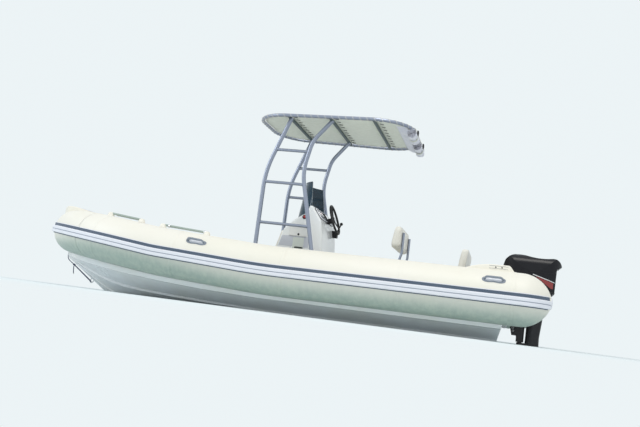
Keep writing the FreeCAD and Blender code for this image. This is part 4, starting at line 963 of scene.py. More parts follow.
def blow_up(item, held, puff):
    """Cloth with air pressure inside, its held points still, and no point moved further than the puff."""
    group = item.vertex_groups.new(name="held")
    group.add([i for i, still in enumerate(held) if still], 1.0, "REPLACE")
    cloth = item.modifiers.new("cover", "CLOTH")
    cloth.settings.vertex_group_mass = "held"
    cloth.settings.use_pressure = True
    cloth.settings.uniform_pressure_force = AIR_PRESSURE
    cloth.settings.quality = 5
    cloth.settings.effector_weights.gravity = 0.0
    cloth.collision_settings.use_self_collision = False
    for number in range(1, CLOTH_STEPS + 1):
        scene.frame_set(number)
    blown = evaluated(item)
    item.modifiers.clear()
    item.vertex_groups.clear()
    scene.frame_set(1)
    for before, after in zip(item.data.vertices, blown.vertices):
        move = after.co - before.co
        if move.length > puff:
            move = move.normalized() * puff
        before.co = before.co + move


def cushion(name, node, body, size, place, channels=((), ()), rounding=(0.028,) * 3, puff=PUFF):
    """Size is (long, wide, thick), the soft face last. Place maps a point of that block to the boat."""
    flat = padded_block(size, channels)
    held, shaped = [], []
    for p in flat.points:
        q = rounded_point(p, size, rounding)
        top = p.z > size[2] - TINY
        rim = min(p.x, size[0] - p.x, p.y, size[1] - p.y)
        nearest = min([abs(p[axis] - mark) for axis in range(2) for mark in channels[axis]] + [1.0])
        if top and nearest < CHANNEL_REACH:
            q.z -= CHANNEL_DEPTH * (1 - nearest / CHANNEL_REACH) ** 2
        held.append(p.z < TINY or top and min(rim, nearest) < TINY)
        shaped.append(q)
    item = closed_object(name, Shape(shaped, flat.faces))
    blow_up(item, held, puff)
    for vertex in item.data.vertices:
        vertex.co = place(vertex.co.copy())
    final = [vertex.co.copy() for vertex in item.data.vertices]
    smooth = item.modifiers.new("smooth", "SUBSURF")
    smooth.levels = smooth.render_levels = 1
    item.data = evaluated(item)
    item.modifiers.clear()
    mount(item, cream_vinyl, "cushion", body, (node,))
    sew(name, flat.points, final, size, channels, body)
    print(name, "faces", len(item.data.polygons))


def mark_of(p):
    """A point of the flat block as a key, free of the last digits."""
    return tuple(round(c, 5) for c in p)


def sew(name, flat, final, size, channels, body):
    """Piping round the top edge and the base, and two rows of stitches along each channel."""
    sewn = {mark_of(p): q for p, q in zip(flat, final)}
    top = round(size[2], 5)
    xs, ys = (sorted({mark[axis] for mark in sewn if mark[2] == top}) for axis in range(2))
    ring = ([(x, ys[0]) for x in xs] + [(xs[-1], y) for y in ys[1:]]
            + [(x, ys[-1]) for x in reversed(xs[:-1])] + [(xs[0], y) for y in reversed(ys[1:-1])])
    welt = Shape()
    for z in (0.0, top):
        path = [sewn[(x, y, z)] for x, y in ring]
        welt.join(tube(path[::2], WELT_RADIUS, 8, loop=True, up=(path[1] - path[0]).orthogonal()))
    piece(name + "_welt", welt, cream_vinyl, "cushion", body)
    lines = []
    for axis in range(2):
        for place in channels[axis]:
            row = sorted((p for p in flat if abs(p[axis] - place) < 1e-5 and p.z > size[2] - TINY),
                         key=lambda p: p[1 - axis])
            middle = row[len(row) // 2][1 - axis]
            level = [mark for mark in sewn if mark[2] == top and abs(mark[1 - axis] - middle) < 1e-4]
            level.sort(key=lambda mark: mark[axis])
            across = (sewn[level[-1]] - sewn[level[0]]).normalized()
            spots = [sewn[mark_of(p)] for p in row][1:-1]
            out = ((spots[-1] - spots[0]).cross(across) * (1 if axis else -1)).normalized()
            for shift in (-STITCH_GAP, STITCH_GAP):
                lines.append(([p + across * shift + out * STITCH_LIFT for p in spots], out,
                              int(length_of(spots) / STITCH_PITCH), False))
    if lines:
        repeated(name + "_stitches", lines, stitch, thread_white, "cushion", body)


# %% [markdown]
# Seat cushions fill the space of their packed block, a few millimetres in from its sides and its top, so
# that the cover has room to swell. Their channels run fore and aft, at even shares of the width.

# %% Seat cushions
SIDE_ROOM, TOP_ROOM, SEAT = 0.004, 0.010, 0.0005


def across_at(width, *at):
    """Channels along the first side of a block, at shares of its width."""
    return (), tuple(width * share for share in at)


THIRDS = (1 / 3, 2 / 3)
for name, node, body, at, fill in (
        ("front_seat_pad", "front_seat_cushion", "front_seat_lid", THIRDS, 0.7),
        ("helm_seat_pad", "helm_seat_cushion", "boat", (0.5,), 0.8),
        ("aft_bench_pad", "aft_bench_cushion", "aft_bench_lid", (0.25, 0.5, 0.75), 0.7)):
    low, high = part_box(node)
    low, high = low + Vector((SIDE_ROOM, SIDE_ROOM, SEAT)), high - Vector((SIDE_ROOM, SIDE_ROOM, TOP_ROOM))
    size = high - low
    cushion(name, node, body, size, lambda p: low + p, across_at(size.y, *at))

# %% [markdown]
# The bow cushion covers a locker that narrows towards the bow, so its block is drawn in along its length. A
# backrest is the same block stood up: its length runs up, its width across the boat and its thickness
# outwards.

# %% Bow cushion and backrests
bow_low, bow_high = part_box("bow_cushion")
BOW_HALF_AFT, BOW_HALF_FORE = 0.596, 0.396
bow_size = Vector((bow_high.x - bow_low.x - 2 * SIDE_ROOM, 2 * BOW_HALF_AFT,
                   bow_high.z - bow_low.z - TOP_ROOM))


def on_bow_locker(p):
    half = BOW_HALF_AFT + (BOW_HALF_FORE - BOW_HALF_AFT) * (p.x / bow_size.x)
    return Vector((bow_low.x + SIDE_ROOM + p.x, (p.y / bow_size.y * 2 - 1) * half, bow_low.z + SEAT + p.z))


cushion("bow_pad", "bow_cushion", "bow_locker_lid", bow_size, on_bow_locker, across_at(bow_size.y, *THIRDS))

KNEE, BROW = Vector((0.070, 0, 0.620)), Vector((-0.040, 0, 1.030))
back_up = (BROW - KNEE).normalized()
back_out = Vector((back_up.z, 0, -back_up.x))
back_foot = KNEE + back_up * 0.041 + back_out * 0.0012
back_size = Vector((0.364, 0.552, 0.054))


def on_console_front(p):
    return back_foot + back_up * p.x + PORT * (p.y - back_size.y / 2) + back_out * p.z


cushion("front_seat_back_pad", "front_seat_back", "boat", back_size, on_console_front,
        across_at(back_size.y, *THIRDS), (0.022, 0.026, 0.020), 0.008)

BACK_ROOM, HELM_TAPER = 0.003, 0.30
helm_low, helm_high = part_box("helm_backrest")
helm_size = helm_high - helm_low - Vector((4, 2, 2)) * BACK_ROOM


def on_helm_stays(p):
    """A bolster: thick at its foot, thinner towards its rounded top, its back upright."""
    thick = 1 - HELM_TAPER * min(max(p.x / helm_size.z, 0), 1) ** 1.5
    return helm_low + Vector((0.001 + p.z * thick, BACK_ROOM + p.y, BACK_ROOM + p.x))


cushion("helm_back_pad", "helm_backrest", "boat", helm_size.zyx, on_helm_stays, across_at(helm_size.y, 0.5),
        (0.055, 0.055, 0.045), 0.012)

AFT_LEAN, AFT_THICK = 0.064, 0.092
aft_low, aft_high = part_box("aft_backrest")
aft_tall, aft_wide = aft_high.z - aft_low.z, aft_high.y - aft_low.y
aft_size = Vector((aft_tall - 2 * BACK_ROOM, aft_wide - 2 * BACK_ROOM, AFT_THICK - 0.011))


def on_aft_bench(p):
    x = aft_high.x - AFT_THICK + 0.001 + p.z - AFT_LEAN * p.x / aft_tall
    return Vector((x, aft_low.y + BACK_ROOM + p.y, aft_low.z + BACK_ROOM + p.x))


cushion("aft_back_pad", "aft_backrest", "boat", aft_size, on_aft_bench,
        ((aft_size.x * 0.42,), across_at(aft_size.y, *THIRDS)[1]), (0.034, 0.034, 0.030), 0.009)

# %% [markdown]
# The canopy is one sheet laced inside a tube ring and laid over three cross-bars. It is tight, so it sags
# only a few millimetres between the bars and puckers where each turn of the lacing pulls on its edge. The
# sheet is drawn as rings of points from its outline to its middle, and its height is worked out from the
# bars and the lacing.

# %% Canopy sheet
CANOPY_Z, BAR_RADIUS = 2.375, 0.018
CANOPY_AFT, CANOPY_FORE, HALF_AFT, HALF_FORE, CANOPY_ROUND = -1.480, 0.455, 0.772, 0.624, 0.450
BAR_PLACES = (-1.040, -0.505, 0.022)
SUPPORTS = (CANOPY_AFT, *BAR_PLACES, CANOPY_FORE)
CLOTH_INSET, CLOTH_RINGS, CLOTH_THICK, LACINGS = 0.032, 30, 0.0016, 68
CLOTH_LIFT, CLOTH_SAG, DRAWN_DOWN, LACE_PUCKER, DRIFT = 0.0022, 0.014, 0.013, 0.0022, 0.0018
OVER_BAR, OVER_BAR_BEND = 0.026, 9
HEM, SEAM_IN, SEAM_LIFT, SEAM_REACH, SEAM_STITCHES = 0.034, 0.006, 0.0026, 0.7, 430
HEM_SECTION = ((-0.001, 0.0), (0.001, 0.0028), (HEM - 0.002, 0.0022), (HEM, 0.0), (HEM - 0.002, -0.0022),
               (0.001, -0.0028))
canopy_middle = Vector((-0.51, 0, CANOPY_Z))


def canopy_outline(step=0.026):
    """The ring's centreline and the way out at each point, from straights and tangent arcs."""
    corners = [Vector((x, y, CANOPY_Z)) for x, y in ((CANOPY_FORE, HALF_FORE), (CANOPY_AFT, HALF_AFT),
                                                     (CANOPY_AFT, -HALF_AFT), (CANOPY_FORE, -HALF_FORE))]
    path = []
    for i, corner in enumerate(corners):
        come = (corner - corners[i - 1]).normalized()
        go = (corners[(i + 1) % 4] - corner).normalized()
        turn = come.angle(go)
        inward = (go - come * come.dot(go)).normalized()
        centre = corner - come * (CANOPY_ROUND * math.tan(turn / 2)) + inward * CANOPY_ROUND
        for share in shares(24):
            angle = turn * share
            path.append(centre + (come * math.sin(angle) - inward * math.cos(angle)) * CANOPY_ROUND)
    path = evenly(path + [path[0]], step)[:-1]
    outs = []
    for i, p in enumerate(path):
        out = (path[(i + 1) % len(path)] - path[i - 1]).cross(UP).normalized()
        outs.append(out if out.dot(p - canopy_middle) > 0 else -out)
    return path, outs


ring_line, ring_outs = canopy_outline()
edge_line = [p - out * CLOTH_INSET for p, out in zip(ring_line, ring_outs)]
sides = len(edge_line)


def on_cloth(p, share, number=0, lift=0.0):
    """A point of the sheet: on the bars, hanging between them, drawn down and puckered at its laced edge."""
    aft, fore = next(((a, b) for a, b in zip(SUPPORTS, SUPPORTS[1:]) if p.x <= b), SUPPORTS[-2:])
    across = min(max((p.x - aft) / (fore - aft), 0), 1)
    sag = CLOTH_SAG * 4 * across * (1 - across) * (1 - share ** 3)
    drawn_down = DRAWN_DOWN * (max(0, share - 0.72) / 0.28) ** 1.5
    pucker = LACE_PUCKER * math.cos(math.tau * LACINGS * number / sides) * max(0, share - 0.8) / 0.2
    drift = DRIFT * math.sin(p.x * 9 + p.y * 4) * math.sin(p.y * 7) * (1 - share)
    top = CANOPY_Z + BAR_RADIUS + CLOTH_LIFT
    past_bar = max(0.0, min(abs(p.x - bar) for bar in BAR_PLACES) - OVER_BAR)
    z = max(top - sag - drawn_down + pucker + drift, top - past_bar ** 2 * OVER_BAR_BEND)
    return Vector((p.x, p.y, z + lift))


def thicken(item, thickness):
    """Gives a sheet of cloth its thickness, half on each side."""
    wall = item.modifiers.new("thick", "SOLIDIFY")
    wall.thickness, wall.offset = thickness, 0.0


sheet = Shape()
for ring in range(CLOTH_RINGS):
    share = 1 - (ring / CLOTH_RINGS) ** 1.15
    for number, edge in enumerate(edge_line):
        sheet.points.append(on_cloth(canopy_middle + (edge - canopy_middle) * share, share, number))
sheet.points.append(on_cloth(canopy_middle, 0))
for ring in range(CLOTH_RINGS):
    for number in range(sides):
        a, b = ring * sides + number, ring * sides + (number + 1) % sides
        inner = (b + sides, a + sides) if ring < CLOTH_RINGS - 1 else (len(sheet.points) - 1,)
        sheet.faces.append((a, b, *inner))
canopy_sheet = piece("canopy_sheet", sheet, canopy_canvas, "canopy", replaces=("canopy_cloth",))
thicken(canopy_sheet, CLOTH_THICK)

hem_rings, hem_seams = [], []
for number, (edge, out) in enumerate(zip(edge_line, ring_outs)):
    reach = (edge - canopy_middle).length
    hem_rings.append([on_cloth(edge - out * inward, 1 - inward / reach, number, lift)
                      for inward, lift in HEM_SECTION])
canopy_hem = piece("canopy_hem", Shape().strip(hem_rings, loop=True), hem_canvas, "canopy")
for inward in (SEAM_IN, HEM - SEAM_IN):
    for way in (UP, -UP):
        row = [on_cloth(edge - out * inward, 1 - inward / SEAM_REACH, number, SEAM_LIFT * way.z)
               for number, (edge, out) in enumerate(zip(edge_line, ring_outs))]
        hem_seams.append((row, way, SEAM_STITCHES, True))
canopy_stitches = repeated("canopy_hem_stitches", hem_seams, stitch, thread_white, "canopy")

# %% [markdown]
# A white cord laces the sheet to the ring: down through an eyelet, round the tube and up through the next
# one. The turns are one long helix, so they are one tube. The eyelets are a small steel ring set along the
# hem. Short ties hold the sheet down along the bars.

# %% Lacing, eyelets and ties
EYELET_IN, LACE_RADIUS = CLOTH_INSET + 0.017, 0.0028
EYELET = [(0.0052, -0.0036), (0.0105, -0.0036), (0.0105, 0.0036), (0.0052, 0.0036)]
LACE_TURN = [(-EYELET_IN, 0.010), (-0.020, 0.021), (0.0, 0.0232), (0.017, 0.017), (0.0232, 0.0),
             (0.017, -0.017), (0.0, -0.0232), (-0.020, -0.018), (-EYELET_IN + 0.004, -0.004)]
TIES, TIE_BEHIND, TIE_SHORT, TIE_RADIUS = 10, 0.066, 0.12, 0.0036
TIE_LINE = ((-0.010, -0.021, 0.002), (-0.007, -0.015, 0.0045), (0.007, 0.015, 0.0045), (0.010, 0.021, 0.002))

eyelet = item_of("eyelet", lathe(EYELET, 12, loop=True))
row = [on_cloth(p - out * EYELET_IN, 0.97, number)
       for number, (p, out) in enumerate(zip(ring_line, ring_outs))]
canopy_eyelets = repeated("canopy_eyelets", [(row, UP, LACINGS, True)], eyelet, bright_steel, "canopy")

lace_points = []
for turn in range(LACINGS):
    for step, (out_by, up_by) in enumerate(LACE_TURN):
        where = (turn + step / len(LACE_TURN)) / LACINGS * sides
        i, share = int(where) % sides, where - int(where)
        after = (i + 1) % sides
        out = ring_outs[i].lerp(ring_outs[after], share).normalized()
        lace_points.append(ring_line[i].lerp(ring_line[after], share) + out * out_by + UP * up_by)
canopy_lacing = piece("canopy_lacing", tube(lace_points, LACE_RADIUS, 6, loop=True), thread_white, "canopy")

tie = item_of("tie", tube([Vector(p) for p in TIE_LINE], TIE_RADIUS, 6))
tie_lines = []
for x in BAR_PLACES:
    reach = HALF_FORE + (HALF_AFT - HALF_FORE) * (CANOPY_FORE - x) / (CANOPY_FORE - CANOPY_AFT) - TIE_SHORT
    row = [on_cloth(Vector((x - TIE_BEHIND, reach * (2 * share - 1), 0)), 0.3, lift=-0.0012)
           for share in shares(24)]
    tie_lines.append((row, -UP, TIES, False))
canopy_ties = repeated("canopy_ties", tie_lines, tie, webbing, "canopy")

# %% [markdown]
# Two sun shades are rolled up under the aft end of the ring. Each is a ribbon of cloth wound in a spiral,
# so its ends show the turns. A strap with a buckle pinches it in the middle.

# %% Rolled shades
ROLL_CENTRE = Vector((CANOPY_AFT, 0, 2.2927))
ROLL_MIDDLES, ROLL_LENGTH, ROLL_TURNS, ROLL_OUTSIDE, ROLL_CORE = (0.330, -0.330), 0.400, 5.0, 0.0610, 0.008
ROLL_ROOM, ROLL_STEPS, SPIRAL_STEPS, SHADE_THICK = 0.006, 32, 96, 0.0022
STRAP_STEPS, STRAP_TOP_RADIUS, STRAP_LOW_RADIUS = 40, 0.0235, 0.0545
STRAP_SECTION = ((0, -0.022), (0, 0.022), (0.0024, 0.022), (0.0024, -0.022))
BUCKLE_SEAT = Vector((-0.046, 0, 0.052))
BUCKLE_DEEP, BUCKLE_TALL = (-0.010, 0.006), (-0.026, 0.026)
BUCKLE_BARS = ((BUCKLE_DEEP, (-0.031, 0.031), (-0.026, -0.019)),
               (BUCKLE_DEEP, (-0.031, 0.031), (0.019, 0.026)),
               (BUCKLE_DEEP, (-0.031, -0.024), BUCKLE_TALL), (BUCKLE_DEEP, (0.024, 0.031), BUCKLE_TALL),
               ((-0.013, 0.002), BUCKLE_TALL, (-0.004, 0.005)))


def spiral_ring(y, pinch, seed):
    """The ribbon's section at a place along the roll: out along the spiral and back on its other face."""
    squash = 0.93 - 0.07 * math.sin(y * 9 + seed)
    outer, inner = [], []
    for share in shares(SPIRAL_STEPS):
        angle = math.tau * ROLL_TURNS * share + seed
        crumple = 0.0030 * math.sin(angle * 3 + y * 23 + seed) + 0.0022 * math.sin(angle * 5 - y * 61)
        radius = (ROLL_CORE + (ROLL_OUTSIDE - ROLL_CORE) * share) * (1 - pinch * share) + crumple * share
        for face, away in ((outer, radius), (inner, radius - SHADE_THICK)):
            face.append(ROLL_CENTRE + Vector((away * math.cos(angle), y, away * math.sin(angle) * squash)))
    return outer + inner[::-1]


def strap_loop(middle):
    """A strap's line: round the ring's tube above and round the roll below."""
    loop = []
    for a, b in circle(1.0, STRAP_STEPS):
        radius, lift = (STRAP_TOP_RADIUS, CANOPY_Z - ROLL_CENTRE.z) if b > 0 else (STRAP_LOW_RADIUS, 0.0)
        loop.append(ROLL_CENTRE + Vector((radius * a, middle, lift + radius * b)))
    return loop


rolls, straps, buckles = Shape(), Shape(), Shape()
for number, middle in enumerate(ROLL_MIDDLES):
    rings = []
    for share in shares(ROLL_STEPS):
        along = share - 0.5
        pinch = 0.16 * math.exp(-(along / 0.09) ** 2) + 0.03 * abs(math.sin(along * 17 + number))
        rings.append(spiral_ring(middle + along * (ROLL_LENGTH - ROLL_ROOM), pinch, 0.7 + number * 1.9))
    rolls.strip(rings)
    loop, rings = strap_loop(middle), []
    for i, p in enumerate(loop):
        out = (loop[(i + 1) % STRAP_STEPS] - loop[i - 1]).cross(PORT).normalized()
        out = out if out.dot(p - ROLL_CENTRE - UP * 0.03) > 0 else -out
        rings.append([p + out * a + PORT * b for a, b in STRAP_SECTION])
    straps.strip(rings, loop=True)
    seat = ROLL_CENTRE + BUCKLE_SEAT + PORT * middle
    buckles.join(*(block(*limits).moved(lambda p: seat + p) for limits in BUCKLE_BARS))
shade_rolls = crisp(piece("shade_rolls", rolls, shade_canvas, "white_cloth", replaces=("rolled_shades",)), 50)
crisp(piece("shade_straps", straps, hem_canvas, "white_cloth"))
crisp(piece("shade_buckles", buckles, black_plastic, "white_cloth"))

# %% [markdown]
# A loose piece of cloth hangs in front of the rolls, gathered up at its port edge. Its fall is a curve
# through three points, and waves that grow downwards make its folds.

# %% Loose cloth
HANG_TOP, HANG_LOW = Vector((-1.2712, 0, 2.3900)), Vector((-1.4150, 0, 2.3035))
HANG_BELLY = Vector((0.013, 0, -0.020))
HANG_PORT, HANG_STARBOARD, GATHERED, GATHER_DROP = 0.448, -0.558, 0.11, 0.006
HANG_ROWS, HANG_COLUMNS, HANG_THICK = 14, 56, 0.0018
FOLD_WAY = Vector((0.55, 0, -0.83))
pull = (HANG_TOP + HANG_LOW) / 2 + HANG_BELLY * 2
hanging = []
for share in shares(HANG_ROWS):
    p = HANG_TOP.lerp(pull, share).lerp(pull.lerp(HANG_LOW, share), share)
    row = []
    for along in shares(HANG_COLUMNS):
        y = HANG_STARBOARD + (HANG_PORT - HANG_STARBOARD) * along
        fold = 0.0055 * share * math.sin(y * 31 + 1.6 * math.sin(y * 9)) + 0.002 * share * math.sin(y * 77)
        hung = p + FOLD_WAY * (fold - 0.003) + PORT * y + AHEAD * (0.006 * share * math.sin(y * 6.5))
        gather = min(max((y - HANG_PORT) / GATHERED + 1, 0), 1)
        hung.z += (HANG_TOP.z - GATHER_DROP - hung.z) * gather ** 2 * (3 - 2 * gather)
        row.append(hung)
    hanging.append(row)
loose_cloth = piece("shade_loose_cloth", Shape().strip(hanging, closed=False), shade_canvas, "white_cloth",
                    replaces=("canopy_aft_cloth",))
thicken(loose_cloth, HANG_THICK)
loose_length = round(length_of([row[HANG_COLUMNS // 2] for row in hanging]), 3)
print("canopy outline", sides, "points; loose cloth", loose_length, "m deep")

# %% [markdown]
# The rubbing strake is a heavy double moulding. What tells it from a plain band are its thin lines: a pale
# bead above the dark stripe, a darker tube in its middle groove that paints the groove's shade, and the
# sealing bead under it. They follow the collar's own frames, aft round the cones and forward round the bow,
# so each is one tube carried at its own height and distance.

# %% Lines of the rubbing strake
CONE_SHARE, CONE_FRAMES = 0.84, 12
# The groove's tube is coloured darker as painted shade.
STRAKE_LINES = (("strake_groove", 0.3005, -0.026, 0.0062, groove_painted_shade, "strake"),
                ("strake_upper_bead", 0.2832, 0.0555, 0.0052, strake_rubber, "strake"),
                ("strake_sealing_bead", 0.2790, -0.0735, 0.0056, slate_rubber, "slate"))
cone_centre = COLLAR_START + PORT * (TUBE_RADIUS - cone_arc)
strake_frames = []
for i in range(CONE_FRAMES, 0, -1):
    angle = cone_sweep * CONE_SHARE * i / CONE_FRAMES
    out = Vector((-math.sin(angle), math.cos(angle), 0))
    strake_frames.append((cone_centre + out * (cone_arc - TUBE_RADIUS), AHEAD, out, UP))
strake_frames += collar_frames
strake_frames += [tuple(to_side(part, -1) for part in row) for row in reversed(strake_frames[:-1])]
for name, out, up, radius, finish, slot in STRAKE_LINES:
    section = [(out + a, up + b) for a, b in circle(radius, 8)]
    piece(name, Shape().strip(carried(strake_frames, section)), finish, slot)

# %% [markdown]
# Each carry handle is glued down on a rubber patch with a waist, with a smaller raised middle coloured pale
# as a painted highlight. The patch is drawn flat, as rings of points from its edge to its middle, and every
# point is laid on the tube by its place along the boat and its angle round the tube. Grips and grab bars
# have moulded rings, so the hand holds when wet.

# %% Handles, grab bars and valves
CARRY_HANDLES, GRAB_BARS = ((0.862, 0.640, 38), (-2.490, -2.700, 36)), ((2.090, 1.600), (1.310, 0.740))
GRIP_LIFT, GRIP_END, GRIP_RINGS = 0.040, 0.045, 12
BAR_ANGLE, BAR_LIFT, BAR_END, BAR_RING_PITCH, FERRULE_IN = 100, 0.036, 0.075, 0.017, 0.048
WAIST, WAIST_REACH, SQUARE_POWER = 0.28, 0.42, 0.75
VALVE_PLACES, VALVE_ANGLE = (-2.20, -0.95, 0.55, 1.75), 146
FERRULE = [(0.0135, -0.014), (0.0175, -0.013), (0.0175, 0.013), (0.0135, 0.014)]
VALVE = [(0.030, -0.002), (0.031, 0.003), (0.024, 0.005), (0.023, 0.008), (0.011, 0.009), (0.010, 0.006),
         (0.002, 0.006)]


def patch(x, angle, half_long, half_wide, thick, base=-0.001):
    rings = []
    for share, lift in ((1.0, base), (1.0, thick * 0.5), (0.97, thick * 0.9), (0.90, thick), (0.5, thick),
                        (0.04, thick)):
        ring = []
        for pair in circle(1.0, 48):
            along, wide = (math.copysign(abs(c) ** SQUARE_POWER, c) for c in pair)
            wide *= 1 - WAIST * math.exp(-(along / WAIST_REACH) ** 2)
            turn = math.degrees(wide * half_wide * share / TUBE_RADIUS)
            ring.append(on_collar(x + along * half_long * share, angle + turn, lift)[0])
        rings.append(ring)
    return Shape().strip(rings)


def both_sides(points, way, count):
    """The same line for repeated() on each side of the boat."""
    return [([to_side(p, side) for p in points], to_side(way, side), count, False) for side in SIDES]


def grip_ring(name, radius):
    low, high = radius - 0.0006, radius + 0.0014
    return item_of(name, lathe([(low, -0.0030), (high, -0.0012), (high, 0.0012), (low, 0.0030)], 16, AHEAD))


bases, patch_highlights, ferrules, valves, grip_lines, bar_lines = Shape(), Shape(), Shape(), Shape(), [], []
for fore, aft, angle in CARRY_HANDLES:
    middle = (fore + aft) / 2
    bases.join(patch(middle, angle - 1.0, 0.122, 0.040, 0.0042))
    patch_highlights.join(patch(middle, angle - 1.0, 0.090, 0.022, 0.0056, 0.002))
    (start, way), (end, _) = on_collar(fore, angle, GRIP_LIFT), on_collar(aft, angle, GRIP_LIFT)
    grip_lines += both_sides((start - AHEAD * GRIP_END, end + AHEAD * GRIP_END), way, GRIP_RINGS)
for fore, aft in GRAB_BARS:
    (start, way), (end, _) = on_collar(fore, BAR_ANGLE, BAR_LIFT), on_collar(aft, BAR_ANGLE, BAR_LIFT)
    run = (end - start).normalized()
    for place in (start + run * FERRULE_IN, end - run * FERRULE_IN):
        ferrules.join(lathe(FERRULE, 20, run, place))
    count = int((end - start).length / BAR_RING_PITCH)
    bar_lines += both_sides((start + run * BAR_END, end - run * BAR_END), way, count)
piece("handle_patches", bases.mirror(), grey_rubber, "grey_rubber")
# The raised middles are pale as a painted highlight.
piece("handle_patch_middles", patch_highlights.mirror(), strake_rubber, "strake")
piece("grab_bar_ferrules", ferrules.mirror(), bright_steel, "stainless")
repeated("handle_grip_rings", grip_lines, grip_ring("grip_ring", 0.011), grey_rubber, "grey_rubber")
repeated("grab_bar_rings", bar_lines, grip_ring("bar_ring", 0.013), grip_rubber, "grip")
for x in VALVE_PLACES:
    place, way = on_collar(x, VALVE_ANGLE)
    valves.join(lathe(VALVE, 24, way, place))
crisp(piece("air_valves", valves.mirror(), grey_rubber, "grey_rubber"), 30)

# %% [markdown]
# Beside the transom a moulding stands on each tube: level on top, cut at a slant aft and run out forward.
# Its width is the same all along, so a short table of places and heights is enough. Its skirts go down into
# the tube.

# %% Aft side mouldings
MOULDING_TOP = ((-2.802, 0.746), (-2.790, 0.762), (-2.756, 0.806), (-2.738, 0.8155), (-2.60, 0.8155),
                (-2.50, 0.809), (-2.42, 0.796), (-2.34, 0.775), (-2.27, 0.746))
MOULDING_IN, MOULDING_OUT, MOULDING_BASE = 0.838, 0.948, 0.700
MOULDING_EDGE = ((0.0, 0.010), (0.003, 0.003), (0.010, 0.0))
SEAM_HEIGHTS, SEAM_ENDS = (0.799, 0.771), (-2.730, -2.530)
MOULDING_SCREWS, MOULDING_SCREW_Z = (-2.665, -2.600), 0.785
MOULDING_SCREW = [(0.0075, -0.001), (0.0075, 0.0014), (0.0045, 0.003), (0.001, 0.0032)]
rings, seams, screws = [], Shape(), Shape()
for x, top in MOULDING_TOP:
    section = [(MOULDING_IN, MOULDING_BASE), *((MOULDING_IN + a, top - b) for a, b in MOULDING_EDGE),
               *((MOULDING_OUT - a, top - b) for a, b in reversed(MOULDING_EDGE)),
               (MOULDING_OUT, MOULDING_BASE)]
    rings.append([Vector((x, y, z)) for y, z in section])
for z in SEAM_HEIGHTS:
    seams.join(tube([Vector((x, MOULDING_OUT - 0.0002, z)) for x in SEAM_ENDS], 0.0016, 6))
for x in MOULDING_SCREWS:
    screws.join(lathe(MOULDING_SCREW, 16, PORT, Vector((x, MOULDING_OUT, MOULDING_SCREW_Z))))
crisp(piece("aft_side_mouldings", Shape().strip(rings).mirror(), ivory, "ivory_tube"), 50)
piece("aft_moulding_seams", seams.mirror(), slate_rubber, "slate")
piece("aft_moulding_screws", screws.mirror(), black_plastic, "black")

# %% [markdown]
# Rows of raised ribs keep a foot from slipping on the nose moulding. They are cast down onto it: a ray from
# above finds the moulding's height at each point. Rays also find where the windscreen stands on the console
# and where the paint lies on the motor's cowl.

# %% Bow step ribs
RIBS, RIB_START, RIB_STEP, RIB_HALF, RIB_RADIUS, RIB_LEAST = 8, 0.120, 0.034, 0.120, 0.0040, 4


def caster(name):
    """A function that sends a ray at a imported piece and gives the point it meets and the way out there."""
    mesh = nodes[name].data
    tree = BVHTree.FromPolygons([v.co for v in mesh.vertices], [tuple(p.vertices) for p in mesh.polygons])

    def cast(start, way):
        point, normal = tree.ray_cast(Vector(start), Vector(way))[:2]
        if point is None:
            return None, None
        return point, normal if normal.dot(Vector(way)) < 0 else -normal
    return cast


def landed(cast, starts, way, lift):
    """The points where rays land, lifted off the piece a little. A ray that misses it leaves no point."""
    met = [cast(start, way) for start in starts]
    return [point + out * lift for point, out in met if point]


on_bow_step, ribs = caster("bow_step"), Shape()
for row in range(RIBS):
    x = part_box("bow_step")[1].x - RIB_START - row * RIB_STEP
    points = landed(on_bow_step, [(x, RIB_HALF * (2 * share - 1), 2.0) for share in shares(12)], -UP, 0.0008)
    if len(points) >= RIB_LEAST:
        ribs.join(tube(points, RIB_RADIUS, 8))
piece("bow_step_ribs", ribs, strake_rubber, "strake")

# %% [markdown]
# The dash is where the eye stops: round gauges with steel bezels, a screen, a row of rocker switches and a
# pale edge trim. They are placed in the dash's own plane, by a distance to port and a distance up its
# slope.

# %% Dash
DASH_MIDDLE, DASH_THICK = Vector((-0.426, 0, 1.254)), 0.014
DASH_UP, DASH_OUT = Vector((0.606, 0, 0.795)), Vector((-0.795, 0, 0.606))
DASH_HALF, DASH_HIGH, TRIM_BEND, TRIM_RADIUS = 0.340, 0.075, 0.03, 0.0065
GAUGES = ((0.270, 0.010, 0.038), (0.180, 0.010, 0.038), (0.098, 0.018, 0.028), (-0.278, 0.010, 0.038))
FIRST_SWING, SWING_STEP, TICKS = -120, 75, 15
SWITCH_UP, SWITCH_ENDS, SWITCHES = -0.052, (0.300, 0.080), 8
DASH_SCREW_PORT, DASH_SCREW_UP = 0.322, 0.060
ROCKER = (((-0.008, -0.011, 0), (0.008, -0.011, 0), (0.008, 0.011, 0), (-0.008, 0.011, 0)),
          ((-0.0066, -0.0095, 0.007), (0.0066, -0.0095, 0.007), (0.0066, 0.0095, 0.003),
           (-0.0066, 0.0095, 0.003)))


def on_dash(port, up, lift=0.0):
    return DASH_MIDDLE + PORT * port + DASH_UP * up + DASH_OUT * (DASH_THICK + lift)


def dash_block(port, up, lift):
    return block(port, up, lift).moved(lambda p: on_dash(*p))


